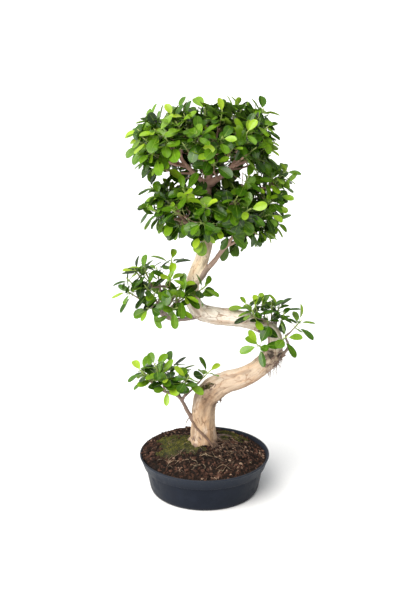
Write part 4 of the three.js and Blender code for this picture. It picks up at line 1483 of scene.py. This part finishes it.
free_roots = ((aerial_line, AIR_ROOT_STAIN), (smooth_path(SURFACE_ROOT), 0),
              (smooth_path(HANGING_ROOT), AIR_ROOT_STAIN))
for number, (line, darker) in enumerate(free_roots):
    made = ringed_tube(*line, LIMB_SIDES, LIMB_STEP, trunk_only, ROOT_NUMBERS + number, 0.0)
    made.values["bark_stain"] = made.values["bark_stain"] + darker
    limb_tubes.append(made)
piece("limb_wood", together(limb_tubes), bark, sharp=70.0)

woody = Wood([trunk_line, *limb_lines])
twig_tubes = [ringed_tube(*line, TWIG_SIDES, TWIG_STEP, woody, TWIG_NUMBERS + number, 0.4)
              for number, line in enumerate(twig_lines)]
piece("twig_wood", together(twig_tubes), bark, sharp=70.0)

# %% [markdown]
# ## The knuckle
#
# Where the trunk turns back on itself an old branch was cut. Its stub is still there, the bark lifts round
# it in flakes, and fine roots hang under it. Flakes and roots are both tubes: a flake is one pressed flat,
# that leaves the bark along its grain and curls away from it.

# %% Flakes, stub and hanging roots
FLAKE_SIDES, FLAKE_ROWS, HAIR_SIDES, HAIR_ROWS = 8, 7, 5, 8
FLAKES = [
    # centre x, y, z, reach and number of flakes
    (142, -26, 300, 17, 26), (122, -34, 294, 8, 7), (28, -4, 194, 14, 9), (12, -18, 228, 13, 6),
    (-20, -12, 112, 14, 5), (20, -10, 106, 12, 5),
]
HAIRS = [
    # the same for the hanging roots, and their length
    (137, -18, 284, 22, 46, 22.0), (154, -16, 296, 12, 16, 15.0), (26, -4, 186, 12, 8, 8.0),
]
STUB = [(136, -18, 296, 11), (148, -18, 298, 10), (157, -17, 301, 8.6), (162, -16, 303, 7)]
STUB_HEART, STUB_SIDES = (140, -18, 297), 20


def picked(x, y, z, reach, count, down=False):
    """Chosen points of the trunk's skin near a place, with the way out there and the wood's own direction.
    With down, only from its underside."""
    far = norm(skin.points - (x, y, z))
    allowed = (skin.values["bark_stain"] < 0.8) & ((outward[:, 2] < -0.15) | (not down))
    near = np.flatnonzero((far < reach) & allowed)
    chosen = chance.choice(near, count)
    return [(skin.points[n], outward[n], grain_of(skin.points[n])) for n in chosen]


def grain_of(point):
    """The direction of the trunk's line nearest to a point."""
    nearest = trunk_only.clearance(point[None])[1][0]
    return trunk_only.axes[nearest, 0]


def flake(place, out, grain_way):
    """A strip of bark: a tube pressed flat, r = ab / sqrt((b cos v)^2 + (a sin v)^2), along a line that
    curls outwards."""
    length, width = chance.uniform(5, 13), chance.uniform(2.0, 4.6)
    lift, thick = chance.uniform(0.15, 0.75), chance.uniform(0.35, 0.7)
    way = unit(grain_way * chance.choice((-1, 1)) + 0.45 * chance.normal(size=3))
    way = unit(way - out * (way @ out))
    t = np.linspace(-0.2, 1, FLAKE_ROWS)
    line = place + (length * t)[:, None] * way + (length * lift * t * np.abs(t) - 0.2)[:, None] * out
    half = width / 2 * np.sin(math.pi * np.linspace(0.16, 0.9, FLAKE_ROWS)) ** 0.6
    half = half * chance.uniform(0.75, 1.15, FLAKE_ROWS)
    angle = angles(FLAKE_SIDES)
    flat = thick / 2 * half[:, None] / np.hypot(thick / 2 * np.cos(angle), half[:, None] * np.sin(angle))
    return tube(line, flat, FLAKE_SIDES, first=np.cross(way, out))


def hair(place, out, length):
    """A fine root that leaves the wood, turns down and wanders."""
    length = length * chance.uniform(0.35, 1.1)
    wander = chance.normal(size=(2, 3)) * length * (0.16, 0.16, 0.08)
    bend = place + 0.25 * length * out
    line = bezier(place - 0.8 * out, bend, bend + wander[0] - (0, 0, 0.4 * length),
                  bend + wander[0] + wander[1] - (0, 0, 0.9 * length), HAIR_ROWS)
    return tube(line, np.linspace(chance.uniform(0.32, 0.5), 0.16, HAIR_ROWS), HAIR_SIDES)


def stub():
    """The cut branch: a short tapering tube with a ragged end."""
    made = tube(*smooth_path(STUB), STUB_SIDES)
    ragged = 0.9 * cloud(made.points, 3.4, 71)
    made.points = made.points + ragged[:, None] * unit(made.points - STUB_HEART)
    return made


strips = [flake(*one) for row in FLAKES for one in picked(*row)]
hairs = [hair(place, out, length) for *row, length in HAIRS for place, out, _ in picked(*row, down=True)]
looks = [(one, 5.0, 0.55) for one in strips] + [(one, 2.0, 0.5) for one in hairs] + [(stub(), 6.0, 0.5)]
knuckle_parts = []
for number, (made, girth_of, stain_of) in enumerate(looks):
    many = np.ones(len(made.points))
    straight = made.values.pop("straight") + (0, 0, 23.0 * number)
    made.values = {"bark_at": straight * MM, "bark_girth": girth_of * many, "bark_relief": 0 * many,
                   "bark_stain": stain_of * many}
    knuckle_parts.append(made)
piece("knuckle_bark", together(knuckle_parts), bark, sharp=50.0)

# %% [markdown]
# ## Leaves
#
# A ficus leaf is a stiff glossy paddle, widest past its middle, folded a little along its rib. A picture of
# a leaf on a flat card is the usual short cut, but a card's edge vanishes when it is seen from the side.
# Here each blade is a thin closed shape, and all the blades of a pad are worked out together as arrays: one
# template, and for each leaf its root, direction and size and the way it droops, folds and twists.

# %% Where leaves stand on a shoot
GOLDEN_ANGLE = 137.508
LEAF_LENGTH, LEAF_HALF_WIDTH, LEAF_STALK, LEAF_DROOP = 34.0, 12.5, 8.0, 0.1
BENDS = [(0, 0), (18, 0), (-18, 0), (0, -22), (30, -14), (-30, -14), (0, 22), (45, 0), (-45, 0)]


def between(low, high, share):
    """A value part of the way from low to high."""
    return low + (high - low) * share


def leaned(heading, around, away):
    """The direction that stands the given angle away from a heading, on the side that around gives."""
    east = unit(np.cross((1, 0.3, 0), heading))
    north = np.cross(heading, east)
    return heading * math.cos(away) + (east * math.cos(around) + north * math.sin(around)) * math.sin(away)


def leaf_place(spray, k, turn=0.0, tilt=0.0):
    """The k-th leaf of a shoot: its root, the way it points, the way its face looks, its size, and its
    youth from 0 to 1. Leaves stand a golden angle apart. Those at the tip are smaller and more upright."""
    number = spray["number"] * 16 + k
    heading = spray["heading"]
    youth = (k + 0.5) / spray["count"]
    root = spray["seat"] + heading * spray["length"] * between(0.42, 0.98, youth)
    around = math.radians(GOLDEN_ANGLE * k + spray["turn"] + turn)
    spread = math.radians(between(96, 50, youth) + 20 * (vary(number, 2) - 0.5) + tilt)
    along = leaned(heading, around, spread)
    lean = np.array([vary(number, 3) - 0.5, vary(number, 4) - 0.5, 0])
    face = heading + 0.3 * UP + 0.9 * lean
    face = unit(face - along * (face @ along))
    size = between(1.06, 0.76, youth ** 2) * between(0.86, 1.12, vary(number, 5))
    return root, along, face, size * spray["scale"], youth


def leaf_tip(root, along, face, size):
    """The far end of a leaf that droops by a tenth of its length."""
    return root + along * (LEAF_STALK + LEAF_LENGTH) * size - face * LEAF_DROOP * LEAF_LENGTH * size


# %% The leaves that the frame holds
SAME_PLACE = 0.15      # mm between a leaf's worked-out tip and a corner of the frame's own leaf

found = []
for spray in sprays:
    corners = shape_of(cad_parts[spray["name"]].data).points
    for k in range(spray["count"]):
        places = [leaf_place(spray, k, *bend) for bend in BENDS]
        tips = np.array([leaf_tip(*place[:4]) for place in places])
        apart = norm(corners[:, None] - tips).min(axis=0)
        if apart.min() < SAME_PLACE:
            spray["leaves"].append(places[apart.argmin()])
    found.append(len(spray["leaves"]))
print("leaves in the frame:", sum(found), "on", len(found), "sprays")

# %% [markdown]
# ## More leaves than the frame holds
#
# The frame's sprays give each pad its outline, but the real pads are several times denser. So more shoots
# grow beside the frame's, on extra buds and on the limbs. Leaves scattered freely would float or cross each
# other. Here a leaf stays only if it has room from the others, the wood and the picture's openings.

# %% More shoots where the real tree is denser
CHILD_LENGTH, CHILD_SCALE, CHILD_LEAVES, ELBOW_CHILD_LEAVES = 20.0, 0.91, 5, 2
CHILDREN = {"low": 1, "elbow": 1, "bend": 0, "skirt": 4, "crown": 5}
OPENINGS = [
    # places that stay open, so that the branches show through from the front: x, z and radius
    (-42, 706, 22), (-22, 676, 20), (38, 702, 20), (20, 660, 18), (66, 690, 16), (-40, 598, 18),
    (4, 236, 24), (60, 668, 14), (-95, 448, 12), (-62, 458, 8), (34, 534, 16), (52, 541, 12),
    (16, 540, 10), (-84, 670, 14), (-104, 660, 14), (122, 712, 12),
]
FRONT_DEPTH = 15      # leaves rooted further back than this may show in an opening
LEAF_SAMPLES = np.array([
    # share of the length, and of the half width
    (0.18, 0), (0.45, 0), (0.75, 0), (0.97, 0), (0.4, 0.8), (0.4, -0.8), (0.72, 0.85), (0.72, -0.85),
])
LEAF_ROOM, WOOD_ROOM = 4.0, 1.4
NEAR_LEAVES, NEAR_WOOD = 70, 60.0      # how far round a leaf the others are looked for
LIMB_SHARES = (0.52, 0.66, 0.8, 0.92)


def leaf_samples(root, along, face, size):
    """Eight places spread over a leaf's blade, for measuring whether two leaves meet."""
    share, side = LEAF_SAMPLES.T
    ahead = (LEAF_STALK + share * LEAF_LENGTH) * size
    drop = -LEAF_DROOP * LEAF_LENGTH * size * share ** 2
    across = np.cross(face, along)
    aside = side * LEAF_HALF_WIDTH * size
    return root + ahead[:, None] * along + aside[:, None] * across + drop[:, None] * face


def short_shoot(pad, number, seat, heading, turn):
    """A short shoot that will bear few leaves."""
    count = ELBOW_CHILD_LEAVES if pad == "elbow" else CHILD_LEAVES
    return new_shoot(pad, number, seat, unit(heading), turn, count, CHILD_LENGTH, CHILD_SCALE)


def child_shoot(spray, number):
    """A short shoot that leaves the twig just below another shoot's seat, 40 to 72 degrees from it."""
    chance_of = spray["number"] * 7 + number
    around = 2 * math.pi * (vary(chance_of, 51) * 0.3 + number * 0.382 + vary(spray["number"], 52))
    away = math.radians(between(40, 72, vary(chance_of, 53)))
    heading = leaned(spray["heading"], around, away) + 0.2 * UP
    seat = spray["seat"] - spray["heading"] * between(1, 11, vary(chance_of, 54))
    return short_shoot(spray["pad"], 200 + chance_of, seat, heading, vary(chance_of, 55))


box_low, box_high = np.array(cad_box) / MM
all_wood = Wood([trunk_line, *limb_lines, *twig_lines])
taken = np.concatenate([leaf_samples(*leaf[:4]) for spray in sprays for leaf in spray["leaves"]])


def in_opening(root, samples):
    """Whether a leaf would cover one of the openings, seen from the front."""
    if root[1] > FRONT_DEPTH:
        return False
    return any(np.hypot(samples[:, 0] - x, samples[:, 2] - z).min() < radius for x, z, radius in OPENINGS)


def free_place(spray, k, taken):
    """The first bend of a leaf that keeps its room from other leaves, the wood and the frame's box."""
    for bend in BENDS:
        place = leaf_place(spray, k, *bend)
        root, samples = place[0], leaf_samples(*place[:4])
        if (samples < box_low + 1).any() or (samples > box_high - 1).any() or in_opening(root, samples):
            continue
        close = taken[np.abs(taken - root).max(axis=1) < NEAR_LEAVES]
        apart = norm(close[:, None] - samples)
        if len(close) and apart.min() <= LEAF_ROOM:
            continue
        if all_wood.room(samples, root, NEAR_WOOD) > WOOD_ROOM:
            return place, samples
    return None


def off_limb(line, radius, share, degrees, sunk):
    """A place on a limb's side, a share of the way along it, with the way out there and the limb's own."""
    along, across, side = frames_along(line)
    at = round(share * (len(line) - 1))
    around = math.radians(degrees)
    out = across[at] * math.cos(around) + side[at] * math.sin(around)
    return line[at] + sunk * radius[at] * out, out, along[at]


def limb_shoots(pad, lines):
    """Short shoots on the limbs themselves, that lean outwards and up from them, a golden angle apart."""
    made = []
    for n, (line, radius) in enumerate(lines):
        for m, share in enumerate(LIMB_SHARES):
            seat, out, along = off_limb(line, radius, share, GOLDEN_ANGLE * (3 * n + m) + 40, 0.6)
            heading, number = out + 0.35 * along + 0.35 * UP, 10 * n + m
            made.append(short_shoot(pad, 700 + number, seat, heading, vary(number, 56)))
    return made


children = [child_shoot(spray, number)
            for spray in sprays + added for number in range(CHILDREN[spray["pad"]])]
children += [shoot for pad in ("skirt", "crown") for shoot in limb_shoots(pad, limbs_of[pad])]
children = added + children
for k in range(TIP_LEAVES):
    for child in children:
        if k >= child["count"]:
            continue
        placed = free_place(child, k, taken)
        if placed:
            child["leaves"].append(placed[0])
            taken = joined(taken, placed[1])
children = [child for child in children if len(child["leaves"]) > 1]
print(len(children), "more shoots with", sum(len(child["leaves"]) for child in children), "leaves")

# %% [markdown]
# ## Bare twigs
#
# In the shade under the crown the twigs have lost their leaves, and thin reddish ones show through its
# openings. Each leaves a limb sideways and turns up. They are grown after the leaves, so that one can be
# left out where it would run into a leaf.

# %% Bare twigs where the pads are open
BARE_SHARES = (0.16, 0.28, 0.4, 0.54, 0.68)
BARE_ROOM, BARE_WOOD_ROOM = 2.2, 1.0
BARE_ROWS = 24
BARE_FROM_HEIGHT = 545


def bare_twig(line, radius, share, number):
    """A thin twig that leaves a limb sideways and turns up, or None if it would run into a leaf."""
    seat, out, along = off_limb(line, radius, share, GOLDEN_ANGLE * number, 0.5)
    length = between(24, 50, vary(number, 61))
    rise = UP * (0.75 if out[2] > -0.3 else -0.1)
    end = seat + length * (0.62 * out + rise + 0.25 * along)
    turning = end - 0.3 * length * unit(out + 2 * rise)
    made = bezier(seat, seat + 0.35 * length * out, turning, end, BARE_ROWS)
    apart = norm(taken[:, None] - made[8:])
    into_wood = all_wood.clearance(made[10:])[0].min() < BARE_WOOD_ROOM
    if seat[2] < BARE_FROM_HEIGHT or apart.min() < BARE_ROOM or into_wood:
        return None
    return made, np.linspace(1.25, 0.6, BARE_ROWS)


bare_lines = [bare_twig(line, radius, share, 7 * n + m)
              for n, (line, radius) in enumerate(limbs_of["skirt"] + limbs_of["crown"])
              for m, share in enumerate(BARE_SHARES)]
bare_lines = [one for one in bare_lines if one]
bare = [ringed_tube(*line, TWIG_SIDES, TWIG_STEP, woody, BARE_NUMBERS + number, 0.5)
        for number, line in enumerate(bare_lines)]
piece("bare_twigs", together(bare), bark, sharp=70.0)
print(len(bare), "bare twigs")

# %% One leaf's template
ROWS = np.array([0.05, 0.18, 0.36, 0.57, 0.77, 0.91, 0.98])
COLUMNS = np.array([-1.0, -0.5, 0.0, 0.5, 1.0, 0.0])
STALK_ROWS, STALK_SIDES = 3, 4
BLADE_POINTS = len(ROWS) * len(COLUMNS) + 2
BLADE_THICK = 0.62
LEAF_ROLL, LEAF_TWIST = 14.0, 14.0      # degrees either way about the rib: the whole leaf, and its tip
LEAF_TONE, YOUNG_PALER, INNER_SHADE, TONE_SPREAD, PALEST = 0.39, 0.44, 0.5, 0.21, 0.94


def width_share(s):
    """Half width of the blade at a share s of its length: sqrt(1 - (2 s^1.357 - 1)^2), which is widest past
    the middle, times 1 - exp(-s / 0.12), which draws the foot in."""
    return np.sqrt(np.maximum(1 - (2 * s ** 1.357 - 1) ** 2, 0)) * (1 - np.exp(-s / 0.12))


def template():
    """Shares (s along, u across, under) of a blade's points, its faces, and flat places for corners."""
    s, u = np.meshgrid(ROWS, COLUMNS, indexing="ij")
    under = np.broadcast_to(np.arange(len(COLUMNS)) == len(COLUMNS) - 1, s.shape)
    points = abreast(s, u, under).reshape(-1, 3)
    points = joined(points, [(0, 0, 0), (1, 0, 0)])
    blade = [face[:, ::-1] for face in ring_faces(len(ROWS), len(COLUMNS))]
    stalk = [face + BLADE_POINTS for face in ring_faces(STALK_ROWS, STALK_SIDES)]
    across = points[:, 1] * width_share(points[:, 0]) * LEAF_HALF_WIDTH / LEAF_LENGTH
    flat_at = abreast(across, points[:, 0])
    flat = []
    for face in blade:
        below = points[face, 2].any(axis=1)
        flat.append((flat_at[face] + np.array([0, 2.0]) * below[:, None, None]).reshape(-1, 2))
    for face in stalk:
        flat.append(np.broadcast_to((0.0, -0.5), (face.size, 2)))
    return points, [blade[0], stalk[0], blade[1], stalk[1]], [flat[0], flat[2], flat[1], flat[3]]


shares, template_faces, template_flat = template()


def blades(places, seed, widths, pale):
    """All the leaves of a pad as one shape. A blade's point is s L ahead, y = u w(s) W aside, and up by
    -(droop + curl) L s^2 + fold |y| - cup y^2, and is then twisted about its rib. Leaves deep inside the
    pad are painted darker, a painted shade."""
    draw = np.random.default_rng(seed)
    count = len(places)
    root, along, face, size, youth = (np.array(one) for one in zip(*places))
    roll = np.radians(draw.uniform(-LEAF_ROLL, LEAF_ROLL, (count, 1)))
    face = face * np.cos(roll) + np.cross(along, face) * np.sin(roll)
    across = np.cross(face, along)
    s, u, under = shares.T
    length = (LEAF_LENGTH * size)[:, None]
    half = (LEAF_HALF_WIDTH * size * draw.uniform(*widths, count))[:, None]
    ahead = LEAF_STALK * size[:, None] + s * length
    aside = u * width_share(s) * half
    curl = draw.uniform(-0.04, 0.06, (count, 1))
    fold = np.tan(np.radians(draw.uniform(2, 19, (count, 1)) + 8 * youth[:, None]))
    cup = draw.uniform(0.0, 0.016, (count, 1))
    wave = draw.uniform(0, 0.5, (count, 1)) * np.sin(7 * s + draw.uniform(0, 6.3, (count, 1))) * u ** 2
    rise = -(LEAF_DROOP + curl) * length * s ** 2 + fold * np.abs(aside) - cup * aside ** 2 + wave
    sunk = 0.16 * (np.abs(u) < 0.1) * (1 - under) * np.sin(np.pi * np.clip(s, 0, 1))
    rise = rise - sunk - BLADE_THICK * under * np.sqrt(np.maximum(4 * s * (1 - s), 0.02))
    twist = np.radians(draw.uniform(-LEAF_TWIST, LEAF_TWIST, (count, 1))) * s
    aside, rise = aside * np.cos(twist) - rise * np.sin(twist) * 0.3, rise + aside * np.sin(twist)
    blade = root[:, None] + ahead[..., None] * along[:, None] + aside[..., None] * across[:, None]
    blade = blade + rise[..., None] * face[:, None]

    t = np.linspace(0, 1, STALK_ROWS)
    reach = (LEAF_STALK * size)[:, None] * (t * 1.12)
    dip = -0.9 * np.sin(np.pi * t) * size[:, None]
    angle = angles(STALK_SIDES)
    thick = 0.72 - 0.12 * t
    ring_y, ring_z = thick[:, None] * np.cos(angle), thick[:, None] * np.sin(angle)
    centre = root[:, None] + reach[..., None] * along[:, None] + (dip - 0.35 * t)[..., None] * face[:, None]
    rings = centre[:, :, None] + ring_y[..., None] * across[:, None, None]
    rings = rings + ring_z[..., None] * face[:, None, None]
    stalk = np.concatenate([rings.reshape(count, -1, 3), centre[:, [0, -1]]], axis=1)

    points = np.concatenate([blade, stalk], axis=1)
    per = points.shape[1]
    faces = repeated(template_faces, per, count)
    flat = [np.tile(one, (count, 1)) for one in template_flat]
    spread = (root.max(axis=0) - root.min(axis=0)) / 2
    far = norm((root - (root.max(axis=0) + root.min(axis=0)) / 2) / spread)
    # Leaves deep inside the pad are painted darker: painted shade.
    inner = np.clip(1.05 - far, 0, 0.6)
    # The pale buds' leaves at the crown's upper left get painted light.
    tone = LEAF_TONE + YOUNG_PALER * youth ** 3 - INNER_SHADE * inner + pale
    tone = np.clip(tone + draw.normal(0, TONE_SPREAD, count), 0, PALEST)
    points = np.clip(points.reshape(-1, 3), box_low, box_high)
    return Shape(points, faces, {"tone": np.repeat(tone, per)}, np.concatenate(flat))


# %% [markdown]
# ## A leaf's finish
#
# The upper side is glossy, with a paler rib and faint veins, the underside is pale and dull, and a little
# light shines through. The flat places that the blades carry say how far along and across the leaf a point
# is, so that one material draws every leaf's veins. The underside's are moved on by 2, and the stalk's are
# below 0, which tells the three apart.

# %% Finish of the leaves
leaf, tree, shader, place = material("ficus_leaf", roughness=0.3, Specular_IOR_Level=0.38)
flat_place = node(tree, "UVMap", {"uv_map": "blade"}).outputs[0]
tone = carried(tree, "tone")
aside, ahead, _ = parts(tree, flat_place)
below = maths("GREATER_THAN", tree, ahead, 1.5)
stalk = maths("LESS_THAN", tree, ahead, -0.1)
ahead = minus(tree, ahead, times(tree, below, 2.0))
off_rib = maths("ABSOLUTE", tree, aside)

rib_width = stepped(tree, ahead, 0.0, 1.0, 0.016, 0.005)
rib = stepped(tree, maths("DIVIDE", tree, off_rib, rib_width), 0.5, 1.3, 1, 0)
slant = minus(tree, ahead, times(tree, off_rib, 0.75))
wave = maths("FRACT", tree, times(tree, slant, 11.0))
vein = stepped(tree, maths("ABSOLUTE", tree, minus(tree, wave, 0.5)), 0.0, 0.11, 1, 0)
vein = times(tree, vein, stepped(tree, off_rib, 0.26, 0.34, 1, 0))

drift = swing(tree, noise(tree, place, 130), 0.35)
shade = plus(tree, tone, drift, clamp=True)
green = ramp(tree, shade, [
    (0, (0.004, 0.018, 0.001)), (0.3, (0.032, 0.098, 0.003)), (0.55, (0.116, 0.248, 0.009)),
    (0.78, (0.24, 0.4, 0.016)), (0.95, (0.32, 0.48, 0.025)), (1, (0.38, 0.5, 0.03)),
])
green = tinted(tree, green, (vein, 0.22, (0.2, 0.36, 0.03)), (rib, 0.6, (0.32, 0.45, 0.06)))
back = blended(tree, 0.35, green, (0.15, 0.27, 0.035))
colour = blended(tree, below, green, back)
colour = blended(tree, stalk, colour, (0.24, 0.33, 0.085))
feed(tree, shader, Base_Color=colour)
gloss = stepped(tree, below, 0.0, 1.0, 0.23, 0.55)
mottled = swing(tree, noise(tree, place, 700), 0.18)
feed(tree, shader, Roughness=plus(tree, gloss, mottled))
sunk = times(tree, plus(tree, times(tree, vein, 0.35), rib), -0.5)
bumped = relief(tree, place, 900, 4000, 0.25, 0.3, 0.0004, sunk)
feed(tree, shader, Normal=bumped)
lit_through = blended(tree, 0.55, colour, (0.4, 0.6, 0.02))
through = node(tree, "BsdfTranslucent", Normal=bumped, Color=lit_through)
leaf_mix = node(tree, "MixShader", Fac=0.1)
tree.links.new(shader.outputs[0], leaf_mix.inputs[1])
tree.links.new(through.outputs[0], leaf_mix.inputs[2])
leaf_end = next(one for one in tree.nodes if one.type == "OUTPUT_MATERIAL")
tree.links.new(leaf_mix.outputs[0], leaf_end.inputs["Surface"])

# %% Foliage, pad by pad
PAD_TONES = {"bend": -0.08, "elbow": -0.04}
LEAF_WIDTHS = {"low": (0.6, 0.88), "elbow": (0.57, 0.84), "bend": (0.58, 0.88), "skirt": (0.6, 0.92),
               "crown": (0.62, 0.95)}
for number, pad in enumerate(PADS):
    shoots = [one for one in sprays + children if one["pad"] == pad]
    places = [place for shoot in shoots for place in shoot["leaves"]]
    names = [spray["name"] for spray in sprays if spray["pad"] == pad]
    pad_tone = PAD_TONES.get(pad, 0.0)
    pale = [shoot.get("pale", pad_tone) for shoot in shoots for _ in shoot["leaves"]]
    made = blades(places, 70 + number, LEAF_WIDTHS[pad], np.array(pale))
    piece(f"{pad}_foliage", made, leaf, sharp=65.0, replaces=names)

# %% Shoots and buds
green_shoot, tree, shader, place = material("green_shoot", roughness=0.5)
ripe = carried(tree, "ripe")
streak = noise(tree, place, 500)
ripe = plus(tree, ripe, swing(tree, streak, 0.5), clamp=True)
feed(tree, shader, Base_Color=ramp(tree, ripe, [
    (0, (0.2, 0.125, 0.065)), (0.3, (0.2, 0.2, 0.06)), (0.75, (0.25, 0.36, 0.08)),
    (1, (0.42, 0.46, 0.14)),
]))
feed(tree, shader, Normal=relief(tree, place, 900, 3500, 0.4, 0.4, 0.0004))

SHOOT_SIDES, SHOOT_ROWS = 6, 15
SHEATH = np.array([
    # how far past the shoot's end, and radius
    (1.0, 1.28), (2.4, 1.2), (4.2, 0.86), (6.0, 0.45), (7.4, 0.14),
])


def shoot_tube(shoot):
    """A green shoot with a swelling under each leaf, and the pointed sheath of its bud."""
    length = shoot["length"]
    scale = math.sqrt(length / SHOOT_LENGTH)
    rows = joined(np.linspace(-3, length, SHOOT_ROWS), length + SHEATH[:, 0] * scale)
    radius = joined(np.linspace(1.62, 1.15, SHOOT_ROWS), SHEATH[:, 1]) * scale
    nodes = np.array([np.dot(place[0] - shoot["seat"], shoot["heading"]) for place in shoot["leaves"]])
    radius = radius + 0.3 * np.exp(-((rows[:, None] - nodes + 0.6) / 0.9) ** 2).sum(axis=1).clip(0, 1)
    made = tube(shoot["seat"] + rows[:, None] * shoot["heading"], radius, SHOOT_SIDES)
    ripe = np.clip(rows / (length + 7), 0, 1)
    made.values = {"ripe": joined(np.repeat(ripe, SHOOT_SIDES), [0, 1])}
    return made


for pad in PADS:
    made = together([shoot_tube(one) for one in sprays + children if one["pad"] == pad])
    made.points = np.clip(made.points, box_low, box_high)
    piece(f"{pad}_shoots", made, green_shoot, sharp=60.0)
